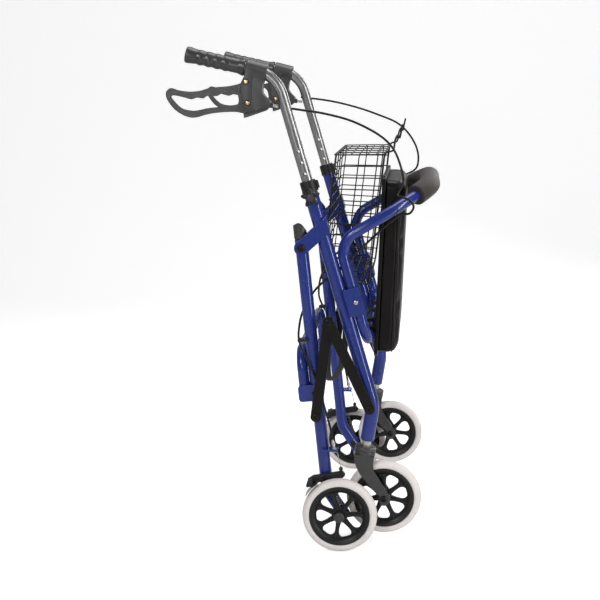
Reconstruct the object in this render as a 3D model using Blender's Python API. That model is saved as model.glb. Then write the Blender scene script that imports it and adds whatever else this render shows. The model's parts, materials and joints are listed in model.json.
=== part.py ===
"""Folding four-wheel rollator walker, folded flat with its seat and basket stowed upright.

World frame: +X is forward, +Y is the user's left, +Z is up.  The origin is on the floor, in
the middle of the folded walker.  The shape itself is laid out from a datum on the floor
straight below the rear axle, and the whole walker hangs from an empty that stands there.
Units are metres.
"""

import math

import bpy
import bmesh
from mathutils import Vector

MM = 0.001
GAP = 0.3 * MM                       # clearance between neighbouring pieces
DATUM = (77.26 * MM, 0, 0)           # the point below the rear axle, seen from the origin

# ---- tubes -------------------------------------------------------------------------------
MAIN_R = 14.3 * MM                   # front frame tube
LEG_R = 12.7 * MM                    # rear leg tube
HANDLE_R = 11.1 * MM                 # telescopic handle tube, backrest and crossbars
FRAME_Y = 248 * MM                   # side frame plane, from the mid plane
TUBE_SIDES = 12

# ---- side view skeleton (x, z), folded ------------------------------------------------------
FOLD_PIVOT = (-80.6 * MM, 616 * MM)
MAIN_TOP_Z = 738 * MM
KNOB_BELOW_TOP = 21 * MM             # height knob, along the main tube
COLLAR_R = 16.2 * MM
COLLAR_ABOVE, COLLAR_BELOW = 11 * MM, 12 * MM
MAIN_SLOPE = 0.2957                  # metres rearward per metre of height
MAIN_X_AT_FLOOR = 512.4 * MM * MAIN_SLOPE
MAIN_BEND_Z = 296 * MM
STEM_LEAN = math.radians(9.0)
STEM_DROP = 72 * MM                  # from the bend to the end of the front tube
LEG_SLOPE = 0.106
LEG_BEND_Z = 117 * MM
LEG_ABOVE_PIVOT = 18 * MM
LEG_PAST_AXLE = 17 * MM

# ---- wheels ----------------------------------------------------------------------------------
WHEEL_R = 76 * MM
RIM_R = 61.6 * MM
TYRE_W = 26 * MM
REAR_WHEEL_Y = 285 * MM
REAR_HUB = (0.0, WHEEL_R)
CASTER_TRAIL = 53.5 * MM
CASTER_DROP = 112 * MM
SPOKES = 7

# ---- handles -----------------------------------------------------------------------------------
GRIP_SLOPE = 0.2202
GRIP_START_X = -191.7 * MM
GRIP_START_Z = 968.4 * MM
GRIP_LENGTH = 119.5 * MM
GRIP_R = 16 * MM
HANDLE_BEND_R = 70 * MM
HANDLE_INSERT = 127 * MM             # length of handle tube inside the main tube
MAIN_BORE_DEPTH = 222 * MM
HOLE_PITCH = 23 * MM
HOLE_ABOVE_TOP = 25 * MM             # lowest hole that shows above the main tube
HOUSING_HALF = 18 * MM
LEVER_HALF = 7 * MM
LEVER_PIVOT = (-187 * MM, 940 * MM)

# ---- brace links --------------------------------------------------------------------------------
LINK_A = (-50.4 * MM, 274.4 * MM)    # on the rear leg
LINK_B = (58.0 * MM, 293.9 * MM)     # on the main tube
LINK_APEX = (-25.5 * MM, 469.8 * MM)
LINK_W = 20 * MM
LINK_END_R = 11 * MM
LINK_T = 4 * MM
REAR_LINK_Y = 265.6 * MM             # inner face of the rear link
FRONT_LINK_Y = 270.2 * MM            # inner face of the front link
BOLT_R = 4 * MM

# ---- seat, basket, backrest -----------------------------------------------------------------------
SEAT_LEAN = math.radians(2.2)
CROSSBAR_Z = 427 * MM                # front crossbar, which is also the seat hinge
REAR_CROSSBAR_Z = 405 * MM
SEAT_UP = 327 * MM
SEAT_DOWN = 45 * MM
SEAT_HALF = 178 * MM
BOARD_T = 8 * MM
PAD_T = 37.5 * MM
BASKET_FROM = 118 * MM
BASKET_TO = 364 * MM
BASKET_RIM = -6 * MM
BASKET_FLOOR = 105 * MM
BASKET_HALF = 195 * MM
BASKET_WALL = 3 * MM
BACKREST_BEND = (-6.8 * MM, 628 * MM)
BACKREST_FRONT = (172 * MM, 733 * MM)
FOAM_R = 20 * MM

SIDES = (("left", 1), ("right", -1))

# ---- finishes: colour, roughness, metallic --------------------------------------------------------
FINISH = {
    "frame_blue": ((0.028, 0.048, 0.262), 0.35, 0.3),
    "black_plastic": ((0.026, 0.024, 0.024), 0.5, 0.0),
    "grip_rubber": ((0.055, 0.052, 0.052), 0.65, 0.0),
    "grey_plastic": ((0.09, 0.085, 0.085), 0.45, 0.0),
    "bare_steel": ((0.42, 0.42, 0.43), 0.3, 1.0),
    "black_steel": ((0.018, 0.016, 0.015), 0.4, 0.3),
    "tyre_grey": ((0.68, 0.61, 0.61), 0.7, 0.0),
    "foam": ((0.07, 0.06, 0.055), 0.85, 0.0),
    "vinyl": ((0.014, 0.012, 0.011), 0.45, 0.0),
    "webbing": ((0.012, 0.011, 0.011), 0.9, 0.0),
}


def material(name):
    found = bpy.data.materials.get(name)
    if found:
        return found
    colour, roughness, metallic = FINISH[name]
    made = bpy.data.materials.new(name)
    made.use_nodes = True
    shader = made.node_tree.nodes["Principled BSDF"]
    shader.inputs["Base Color"].default_value = (*colour, 1.0)
    shader.inputs["Roughness"].default_value = roughness
    shader.inputs["Metallic"].default_value = metallic
    return made


# ---- skeleton helpers -----------------------------------------------------------------------------
def main_x(z):
    """X of the main tube's axis at height z."""
    return MAIN_X_AT_FLOOR - MAIN_SLOPE * z


def leg_x(z):
    """X of the rear leg's axis at height z."""
    return FOLD_PIVOT[0] + (FOLD_PIVOT[1] - z) * LEG_SLOPE


MAIN_LEN = math.hypot(1.0, MAIN_SLOPE)
MAIN_DOWN = Vector((MAIN_SLOPE / MAIN_LEN, 0, -1 / MAIN_LEN))
MAIN_FRONT = Vector((1 / MAIN_LEN, 0, MAIN_SLOPE / MAIN_LEN))
LEG_LEN = math.hypot(1.0, LEG_SLOPE)
LEG_DOWN = Vector((LEG_SLOPE / LEG_LEN, 0, -1 / LEG_LEN))
LEG_BACK = Vector((-1 / LEG_LEN, 0, -LEG_SLOPE / LEG_LEN))
STEM_DOWN = Vector((-math.sin(STEM_LEAN), 0, -math.cos(STEM_LEAN)))
STEM_FRONT = Vector((math.cos(STEM_LEAN), 0, -math.sin(STEM_LEAN)))
MAIN_TOP = Vector((main_x(MAIN_TOP_Z), 0, MAIN_TOP_Z))
MAIN_BEND = Vector((main_x(MAIN_BEND_Z), 0, MAIN_BEND_Z))
STEM_END = MAIN_BEND + STEM_DOWN * STEM_DROP
FRONT_HUB = STEM_END + STEM_DOWN * CASTER_DROP + STEM_FRONT * CASTER_TRAIL
CROSSBAR_OFFSET = MAIN_R + HANDLE_R + GAP
SEAT_HINGE = Vector((main_x(CROSSBAR_Z) + CROSSBAR_OFFSET * MAIN_LEN, 0, CROSSBAR_Z))
SEAT_U = Vector((math.sin(SEAT_LEAN), 0, math.cos(SEAT_LEAN)))
SEAT_N = Vector((-math.cos(SEAT_LEAN), 0, math.sin(SEAT_LEAN)))
BRAKE_PIVOT = (leg_x(148.6 * MM), 148.6 * MM)


def at(xz, y=0.0):
    return Vector((xz[0], y, xz[1]))


def with_y(point, y):
    return Vector((point[0], y, point[2]))


def seat_point(along, out, y=0.0):
    """A point in the seat's own frame: along it from the hinge, and out behind its underside."""
    return with_y(SEAT_HINGE + SEAT_U * along + SEAT_N * out, y)


def stem_xz(down, front):
    point = STEM_END + STEM_DOWN * down + STEM_FRONT * front
    return (point.x, point.z)


# ---- mesh helpers -----------------------------------------------------------------------------------
def add_object(name, bm, finish):
    bmesh.ops.recalc_face_normals(bm, faces=bm.faces)
    mesh = bpy.data.meshes.new(name)
    bm.to_mesh(mesh)
    bm.free()
    mesh.materials.append(material(finish))
    mesh.shade_smooth()
    mesh.set_sharp_from_angle(angle=math.radians(35))
    obj = bpy.data.objects.new(name, mesh)
    bpy.context.scene.collection.objects.link(obj)
    return obj


def rounded_path(corners, radii, steps=6):
    """A polyline through the corners, each inner corner replaced by an arc of its radius."""
    points = [corners[0].copy()]
    for index in range(1, len(corners) - 1):
        corner = corners[index]
        into = (corner - corners[index - 1]).normalized()
        out = (corners[index + 1] - corner).normalized()
        turn = into.angle(out)
        reach = radii[index - 1] * math.tan(turn / 2)
        centre_dir = (out - into).normalized()
        centre = corner + centre_dir * (radii[index - 1] / math.cos(turn / 2))
        start = corner - into * reach - centre
        axis = into.cross(out).normalized()
        for step in range(steps + 1):
            angle = turn * step / steps
            side = axis.cross(start)
            points.append(centre + start * math.cos(angle) + side * math.sin(angle))
    points.append(corners[-1].copy())
    return points


def sweep(name, path, radius, finish, sides=TUBE_SIDES):
    """A solid round bar of the given radius along the path, with flat ends."""
    bm = bmesh.new()
    tangents = []
    for index in range(len(path)):
        before = path[max(index - 1, 0)]
        after = path[min(index + 1, len(path) - 1)]
        if 0 < index < len(path) - 1:
            tangent = (after - path[index]).normalized() + (path[index] - before).normalized()
        else:
            tangent = after - before
        tangents.append(tangent.normalized())
    seed = Vector((0, 1, 0)) if abs(tangents[0].y) < 0.9 else Vector((1, 0, 0))
    across = (seed - tangents[0] * seed.dot(tangents[0])).normalized()
    rings = []
    for point, tangent in zip(path, tangents):
        across = (across - tangent * across.dot(tangent)).normalized()
        up = tangent.cross(across)
        ring = []
        for side in range(sides):
            angle = 2 * math.pi * (side + 0.5) / sides
            ring.append(bm.verts.new(point + (across * math.cos(angle) + up * math.sin(angle)) * radius))
        rings.append(ring)
    for first, second in zip(rings, rings[1:]):
        for side in range(sides):
            follow = (side + 1) % sides
            bm.faces.new((first[side], first[follow], second[follow], second[side]))
    bm.faces.new(rings[0])
    bm.faces.new(rings[-1])
    return add_object(name, bm, finish)


def rod(name, start, end, radius, finish, sides=TUBE_SIDES):
    return sweep(name, [start, end], radius, finish, sides)


def plate(name, outline, y_from, y_to, finish):
    """An (x, z) outline extruded across, from y_from to y_to."""
    bm = bmesh.new()
    face = bm.faces.new([bm.verts.new((x, y_from, z)) for x, z in outline])
    grown = bmesh.ops.extrude_face_region(bm, geom=[face])
    moved = [item for item in grown["geom"] if isinstance(item, bmesh.types.BMVert)]
    bmesh.ops.translate(bm, verts=moved, vec=(0, y_to - y_from, 0))
    return add_object(name, bm, finish)


def lathe(name, profile, sides, finish):
    """A closed (radius, y) loop turned about the Y axis."""
    bm = bmesh.new()
    rings = []
    for side in range(sides):
        angle = 2 * math.pi * (side + 0.5) / sides
        ring = [bm.verts.new((r * math.cos(angle), y, r * math.sin(angle))) for r, y in profile]
        rings.append(ring)
    for index in range(sides):
        first, second = rings[index], rings[(index + 1) % sides]
        for k in range(len(profile)):
            n = (k + 1) % len(profile)
            bm.faces.new((first[k], first[n], second[n], second[k]))
    return add_object(name, bm, finish)


def arc(centre, radius, start_deg, end_deg, steps=6):
    """Points of an arc in the (x, z) plane."""
    points = []
    for step in range(steps + 1):
        angle = math.radians(start_deg + (end_deg - start_deg) * step / steps)
        points.append((centre[0] + radius * math.cos(angle), centre[1] + radius * math.sin(angle)))
    return points


def tool(obj):
    """Marks an object as a helper for a Boolean, not a piece of the walker."""
    obj.hide_render = True
    obj.display_type = "WIRE"
    return obj


def boolean(obj, helper, operation):
    tool(helper)
    modifier = obj.modifiers.new(operation.lower(), "BOOLEAN")
    modifier.operation = operation
    modifier.solver = "EXACT"
    modifier.object = helper
    helper.parent = obj


def cut(obj, helper):
    boolean(obj, helper, "DIFFERENCE")


def fuse(obj, helper):
    boolean(obj, helper, "UNION")


def body(name, pivot, parent=None):
    """An empty on a joint's axis; the body's pieces hang from it."""
    empty = bpy.data.objects.new(name, None)
    empty.empty_display_size = 0.03
    bpy.context.scene.collection.objects.link(empty)
    empty["pivot"] = tuple(pivot)
    if parent:
        empty.parent = parent
        empty.location = Vector(pivot) - Vector(parent["pivot"])
    else:
        empty.location = pivot
    return empty


def hang(obj, holder):
    """Moves the object's origin to its body's joint and parents it there."""
    pivot = Vector(holder["pivot"])
    for piece in (obj, *obj.children):
        piece.data = piece.data.copy()
        piece.data.transform(piece.matrix_basis)
        piece.matrix_basis.identity()
        for vertex in piece.data.vertices:
            vertex.co -= pivot
    obj.parent = holder
    return obj


# ---- front frame -----------------------------------------------------------------------------------
def main_tube(side, sign, holder):
    y = sign * FRAME_Y
    path = rounded_path([with_y(MAIN_TOP, y), with_y(MAIN_BEND, y), with_y(STEM_END, y)], [70 * MM])
    tube = sweep("main_tube_" + side, path, MAIN_R, "frame_blue")
    for inner in (-1, 1):
        near = y + inner * 13.0 * MM
        far = y + inner * 16.0 * MM
        outline = arc(FOLD_PIVOT, 14 * MM, 125, 305, 10)
        outline += [(-30 * MM, 650 * MM), (-43 * MM, 684 * MM)]
        ear = plate("ear_tool_" + side + str(inner), outline, near, far, "frame_blue")
        fuse(tube, ear)
    bore = rod("bore_tool_" + side, with_y(MAIN_TOP - MAIN_DOWN * 5 * MM, y),
               with_y(MAIN_TOP + MAIN_DOWN * MAIN_BORE_DEPTH, y), 11.7 * MM, "frame_blue")
    cut(tube, bore)
    hole = rod("ear_hole_tool_" + side, at(FOLD_PIVOT, y - 30 * MM), at(FOLD_PIVOT, y + 30 * MM),
               BOLT_R + GAP, "frame_blue")
    cut(tube, hole)
    stem_hole = rod("stem_hole_tool_" + side, with_y(STEM_END + STEM_DOWN * 5 * MM, y),
                    with_y(STEM_END - STEM_DOWN * 42 * MM, y), 6.4 * MM, "frame_blue")
    cut(tube, stem_hole)
    hang(tube, holder)


def height_collar(side, sign, holder):
    y = sign * FRAME_Y
    low = with_y(MAIN_TOP + MAIN_DOWN * COLLAR_BELOW, y)
    high = with_y(MAIN_TOP - MAIN_DOWN * COLLAR_ABOVE, y)
    collar = rod("height_collar_" + side, low, high, COLLAR_R, "black_plastic")
    lower = rod("collar_seat_tool_" + side, with_y(MAIN_TOP + MAIN_DOWN * 20 * MM, y),
                with_y(MAIN_TOP - MAIN_DOWN * 0.5 * MM, y), MAIN_R + 0.5 * MM, "black_plastic")
    upper = rod("collar_bore_tool_" + side, with_y(MAIN_TOP + MAIN_DOWN * 20 * MM, y),
                with_y(MAIN_TOP - MAIN_DOWN * 40 * MM, y), HANDLE_R + 0.5 * MM, "black_plastic")
    cut(collar, lower)
    cut(collar, upper)
    hang(collar, holder)


def height_knob(side, sign, front):
    centre = MAIN_TOP + MAIN_DOWN * KNOB_BELOW_TOP
    holder = body("height_knob_" + side + "_joint", with_y(centre, sign * FRAME_Y), front)
    outline = []
    lobes = 5
    for step in range(40):
        angle = 2 * math.pi * step / 40
        radius = (15.0 + 4.5 * math.cos(lobes * angle)) * MM
        outline.append((centre.x + radius * math.cos(angle), centre.z + radius * math.sin(angle)))
    inner = sign * (FRAME_Y + 22 * MM)
    knob = plate("height_knob_" + side, outline, inner, sign * (FRAME_Y + 34 * MM), "black_plastic")
    shank = rod("knob_shank_tool_" + side, with_y(centre, sign * (FRAME_Y + MAIN_R + GAP)),
                with_y(centre, sign * (FRAME_Y + 24 * MM)), 5 * MM, "black_plastic", 12)
    fuse(knob, shank)
    hang(knob, holder)


def backrest_bracket(side, sign, holder):
    y = sign * FRAME_Y
    centre = Vector((main_x(503 * MM), 0, 503 * MM))
    half = 28.5 * MM
    back, front = 6.5 * MM, 39.8 * MM
    web = front - 2.3 * MM

    def corner(ahead, down):
        point = centre + MAIN_FRONT * ahead + MAIN_DOWN * down
        return (point.x, point.z)

    outer = [corner(back, -half), corner(front, -half), corner(front, half), corner(back, half)]
    bracket = plate("backrest_bracket_" + side, outer, y - 17 * MM, y + 17 * MM, "frame_blue")
    inner = [corner(-half, -2 * half), corner(web, -2 * half), corner(web, 2 * half), corner(-half, 2 * half)]
    channel = plate("channel_tool_" + side, inner, y - MAIN_R - 0.4 * MM, y + MAIN_R + 0.4 * MM, "frame_blue")
    cut(bracket, channel)
    hang(bracket, holder)


def backrest_path():
    low_z = 506 * MM
    low = Vector((main_x(low_z) + CROSSBAR_OFFSET * MAIN_LEN, 0, low_z))
    corners = []
    for y in (-FRAME_Y, FRAME_Y):
        side = [with_y(low, y), at(BACKREST_BEND, y), at(BACKREST_FRONT, y)]
        corners += side if y < 0 else side[::-1]
    return rounded_path(corners, [50 * MM, 150 * MM, 150 * MM, 50 * MM], 10)


def backrest(holder):
    path = backrest_path()
    hang(sweep("backrest_tube", path, HANDLE_R, "frame_blue"), holder)
    start = next(i for i, p in enumerate(path) if p.x > 140 * MM)
    end = len(path) - start
    foam = sweep("backrest_foam", path[start:end], FOAM_R, "foam")
    core = sweep("foam_core_tool", path[start - 1:end + 1], HANDLE_R + 0.4 * MM, "foam")
    cut(foam, core)
    hang(foam, holder)


def front_crossbar(holder):
    top_z = 500 * MM
    top = Vector((main_x(top_z) + CROSSBAR_OFFSET * MAIN_LEN, 0, top_z))
    corners = [with_y(top, -FRAME_Y), with_y(SEAT_HINGE, -FRAME_Y),
               with_y(SEAT_HINGE, FRAME_Y), with_y(top, FRAME_Y)]
    hang(sweep("front_crossbar", rounded_path(corners, [40 * MM, 40 * MM], 6), HANDLE_R, "frame_blue"), holder)


# ---- rear frame -------------------------------------------------------------------------------------
def rear_leg(side, sign, holder):
    y = sign * FRAME_Y
    pivot = at(FOLD_PIVOT, y)
    bend = Vector((leg_x(LEG_BEND_Z), y, LEG_BEND_Z))
    hub = at(REAR_HUB, y)
    end = hub + (hub - bend).normalized() * LEG_PAST_AXLE
    path = rounded_path([pivot - LEG_DOWN * LEG_ABOVE_PIVOT, bend, end], [45 * MM])
    leg = sweep("rear_leg_" + side, path, LEG_R, "frame_blue")
    for xz, radius, label in ((FOLD_PIVOT, BOLT_R + GAP, "pivot"), (REAR_HUB, 5.3 * MM, "axle")):
        hole = rod(label + "_hole_tool_" + side, at(xz, y - 30 * MM), at(xz, y + 30 * MM), radius, "frame_blue")
        cut(leg, hole)
    tab_z = 206 * MM
    tab_x = leg_x(tab_z)
    outline = [(tab_x, tab_z - 3 * MM), (tab_x + 31 * MM, tab_z - 3 * MM),
               (tab_x + 31 * MM, tab_z + 1 * MM), (tab_x, tab_z + 1 * MM)]
    fuse(leg, plate("cable_tab_tool_" + side, outline, y - sign * 4 * MM, y + sign * 12 * MM, "frame_blue"))
    hang(leg, holder)


def leg_plug(side, sign, holder):
    """The plug's slanted top clears the main tube when the legs are swung open."""
    y = sign * FRAME_Y
    base = at(FOLD_PIVOT, y) - LEG_DOWN * (LEG_ABOVE_PIVOT + GAP)
    plug = rod("leg_plug_" + side, base, base - LEG_DOWN * 30 * MM, 13.0 * MM, "grey_plastic")
    slant = []
    for front, up in ((-20, 28), (20, 4), (20, 60), (-20, 60)):
        point = base - LEG_BACK * front * MM - LEG_DOWN * up * MM
        slant.append((point.x, point.z))
    cut(plug, plate("slant_tool_" + side, slant, y - 30 * MM, y + 30 * MM, "grey_plastic"))
    hang(plug, holder)


def rear_crossbar(holder):
    offset = LEG_R + HANDLE_R + GAP

    def behind_leg(z, y):
        return Vector((leg_x(z), y, z)) + LEG_BACK * offset

    low, top = 306 * MM, REAR_CROSSBAR_Z
    corners = [behind_leg(low, -FRAME_Y), behind_leg(top, -FRAME_Y),
               behind_leg(top, FRAME_Y), behind_leg(low, FRAME_Y)]
    bar = sweep("rear_crossbar", rounded_path(corners, [40 * MM, 40 * MM], 6), HANDLE_R, "frame_blue")
    for side, sign in SIDES:
        y = sign * FRAME_Y
        centre = Vector((leg_x(323 * MM), y, 323 * MM))

        def corner(back, down):
            point = centre + LEG_BACK * back + LEG_DOWN * down
            return (point.x, point.z)

        back = offset + HANDLE_R + 1.5 * MM
        outer = [corner(-1 * MM, -17 * MM), corner(-1 * MM, 17 * MM), corner(back, 17 * MM), corner(back, -17 * MM)]
        sleeve = plate("sleeve_tool_" + side, outer, y - 15.4 * MM, y + 15.4 * MM, "frame_blue")
        slot = [corner(-9 * MM, -30 * MM), corner(-9 * MM, 30 * MM),
                corner(LEG_R + 4 * MM, 30 * MM), corner(LEG_R + 4 * MM, -30 * MM)]
        fuse(bar, sleeve)
        cut(bar, plate("sleeve_slot_tool_" + side, slot, y - 13 * MM, y + 13 * MM, "frame_blue"))
    hang(bar, holder)


def rear_axle(side, sign, holder):
    start = at(REAR_HUB, sign * 231 * MM)
    axle = rod("rear_axle_" + side, start, at(REAR_HUB, sign * 309 * MM), 5 * MM, "bare_steel")
    fuse(axle, rod("axle_head_tool_" + side, at(REAR_HUB, sign * 229 * MM), at(REAR_HUB, sign * 234.8 * MM),
                   8 * MM, "bare_steel", 6))
    fuse(axle, rod("axle_washer_tool_" + side, at(REAR_HUB, sign * 261.1 * MM), at(REAR_HUB, sign * 266 * MM),
                   8 * MM, "bare_steel"))
    fuse(axle, rod("axle_cap_tool_" + side, at(REAR_HUB, sign * 303.8 * MM), at(REAR_HUB, sign * 310 * MM),
                   9 * MM, "bare_steel"))
    hang(axle, holder)


def brake_cable(side, sign, holder):
    """The lower run of cable, clipped along the rear leg down to its adjuster."""
    y = sign * 263.3 * MM
    points = [(-81, 445), (-80.5, 430), (-72, 408), (-54, 366), (-37, 318), (-22, 256), (-14.5, 222)]
    path = [Vector((x * MM, y, z * MM)) for x, z in points]
    hang(sweep("brake_cable_" + side, path, 2 * MM, "black_plastic", 8), holder)


# ---- brace links and strap ------------------------------------------------------------------------------
def link_outline(start, end):
    """A bar with round ends about its two pivots, slightly waisted between them."""
    direction = math.degrees(math.atan2(end[1] - start[1], end[0] - start[0]))
    far = arc(end, LINK_END_R, direction - 78, direction + 78)
    near = arc(start, LINK_END_R, direction + 102, direction + 258)
    return far + near


def brace_link(name, start, end, y_inner, sign, start_hole, end_hole, holder):
    link = plate(name, link_outline(start, end), sign * y_inner, sign * (y_inner + LINK_T), "black_steel")
    for xz, radius, label in ((start, start_hole, "start"), (end, end_hole, "end")):
        cut(link, rod(name + "_" + label + "_tool", at(xz, sign * 255 * MM), at(xz, sign * 285 * MM),
                      radius, "black_steel"))
    hang(link, holder)


def link_bolt(name, xz, y_tube, y_link, sign, holder):
    """A shouldered bolt: the shoulder spaces the link off the tube."""
    bolt = rod(name, at(xz, sign * (y_tube + GAP)), at(xz, sign * (y_link + LINK_T + 3 * MM)), BOLT_R, "black_steel")
    if y_link - y_tube > 4 * MM:
        fuse(bolt, rod(name + "_shoulder_tool", at(xz, sign * (y_tube + GAP)), at(xz, sign * (y_link - GAP)),
                       7 * MM, "black_steel"))
    fuse(bolt, rod(name + "_head_tool", at(xz, sign * (y_link + LINK_T + GAP)),
                   at(xz, sign * (y_link + LINK_T + 3.5 * MM)), 7 * MM, "black_steel"))
    hang(bolt, holder)


def apex_rivet(side, sign, holder):
    rivet = rod("apex_rivet_" + side, at(LINK_APEX, sign * (FRONT_LINK_Y + 0.2 * MM)),
                at(LINK_APEX, sign * (FRONT_LINK_Y + 6 * MM)), BOLT_R, "black_steel")
    fuse(rivet, rod("rivet_head_tool_" + side, at(LINK_APEX, sign * (FRONT_LINK_Y + LINK_T + GAP)),
                    at(LINK_APEX, sign * (FRONT_LINK_Y + 7.5 * MM)), 7 * MM, "black_steel"))
    hang(rivet, holder)


def fold_strap(holder):
    """A webbing strap slung between the two sides' link joints; pulling it up folds the walker."""
    half_span, sag, half_width, thick = 264 * MM, 168 * MM, 9 * MM, 1.6 * MM
    steps = 24
    bm = bmesh.new()
    rings = []
    for step in range(steps + 1):
        s = -1 + 2 * step / steps
        y = half_span * s
        z = LINK_APEX[1] - sag * (1 - abs(s) ** 3)
        slope = 3 * sag * s * abs(s) / half_span
        normal = Vector((0, -slope, 1)).normalized() * thick / 2
        centre = Vector((LINK_APEX[0], y, z))
        ring = []
        for x, up in ((-1, -1), (1, -1), (1, 1), (-1, 1)):
            ring.append(bm.verts.new(centre + normal * up + Vector((half_width * x, 0, 0))))
        rings.append(ring)
    for first, second in zip(rings, rings[1:]):
        for k in range(4):
            bm.faces.new((first[k], first[(k + 1) % 4], second[(k + 1) % 4], second[k]))
    bm.faces.new(rings[0])
    bm.faces.new(rings[-1])
    hang(add_object("fold_strap", bm, "webbing"), holder)


# ---- seat and basket ------------------------------------------------------------------------------------
def seat_slab(name, along, out, half, finish, holder, bevel):
    outline = []
    for a, o in ((along[0], out[0]), (along[1], out[0]), (along[1], out[1]), (along[0], out[1])):
        point = seat_point(a, o)
        outline.append((point.x, point.z))
    slab = plate(name, outline, -half, half, finish)
    rounding = slab.modifiers.new("rounding", "BEVEL")
    rounding.width = bevel
    rounding.segments = 2
    rounding.limit_method = "ANGLE"
    hang(slab, holder)


def seat(holder):
    under = -(HANDLE_R + GAP)
    seat_slab("seat_board", (-SEAT_DOWN, SEAT_UP), (under, under - BOARD_T), SEAT_HALF, "black_plastic",
              holder, 2 * MM)
    pad_from = under - BOARD_T - GAP
    seat_slab("seat_pad", (-SEAT_DOWN, SEAT_UP), (pad_from, pad_from - PAD_T), SEAT_HALF + 5 * MM, "vinyl",
              holder, 9 * MM)


def basket(holder):
    """An open box of wire mesh, stood on end.  Its far lower edge is cut back so that it
    passes the rear crossbar while the frame opens."""
    slope_from, slope_to = 46 * MM, 314 * MM
    outer = [(BASKET_FROM, BASKET_RIM), (BASKET_TO, BASKET_RIM), (BASKET_TO, slope_from),
             (slope_to, BASKET_FLOOR), (BASKET_FROM + 8 * MM, BASKET_FLOOR)]
    w = BASKET_WALL
    inner = [(BASKET_FROM + w, BASKET_RIM - 10 * MM), (BASKET_TO - w, BASKET_RIM - 10 * MM),
             (BASKET_TO - w, slope_from - 1.2 * MM), (slope_to - 1.2 * MM, BASKET_FLOOR - w),
             (BASKET_FROM + 8 * MM + w, BASKET_FLOOR - w)]

    def world(pairs):
        points = [seat_point(a, o) for a, o in pairs]
        return [(p.x, p.z) for p in points]

    box = plate("basket", world(outer), -BASKET_HALF, BASKET_HALF, "black_steel")
    cut(box, plate("basket_hollow_tool", world(inner), -BASKET_HALF + w, BASKET_HALF - w, "black_steel"))
    for side, sign in SIDES:
        y = sign * (BASKET_HALF - 2 * MM)
        spine = [seat_point(BASKET_TO - 14 * MM, 0.0, y), seat_point(BASKET_TO + 6 * MM, -4 * MM, y),
                 seat_point(BASKET_TO + 24 * MM, -24 * MM, y), seat_point(BASKET_TO + 60 * MM, -36 * MM, y)]
        fuse(box, sweep("basket_hook_tool_" + side, spine, 1.8 * MM, "black_steel", 8))
    hang(box, holder)


# ---- handles ---------------------------------------------------------------------------------------------
def handle_bend():
    """Where the handle tube's axis meets the grip's axis."""
    x = ((MAIN_X_AT_FLOOR - MAIN_SLOPE * GRIP_START_Z) - MAIN_SLOPE * GRIP_SLOPE * GRIP_START_X)
    x /= (1 - MAIN_SLOPE * GRIP_SLOPE)
    return (x, GRIP_START_Z + GRIP_SLOPE * (GRIP_START_X - x))


GRIP_BACK = Vector((-1, 0, GRIP_SLOPE)).normalized()


def handle_path(y, shorten=6 * MM):
    start = with_y(MAIN_TOP + MAIN_DOWN * HANDLE_INSERT, y)
    grip_end = Vector((GRIP_START_X, y, GRIP_START_Z)) + GRIP_BACK * (GRIP_LENGTH - shorten)
    return rounded_path([start, at(handle_bend(), y), grip_end], [HANDLE_BEND_R], 8)


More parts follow.
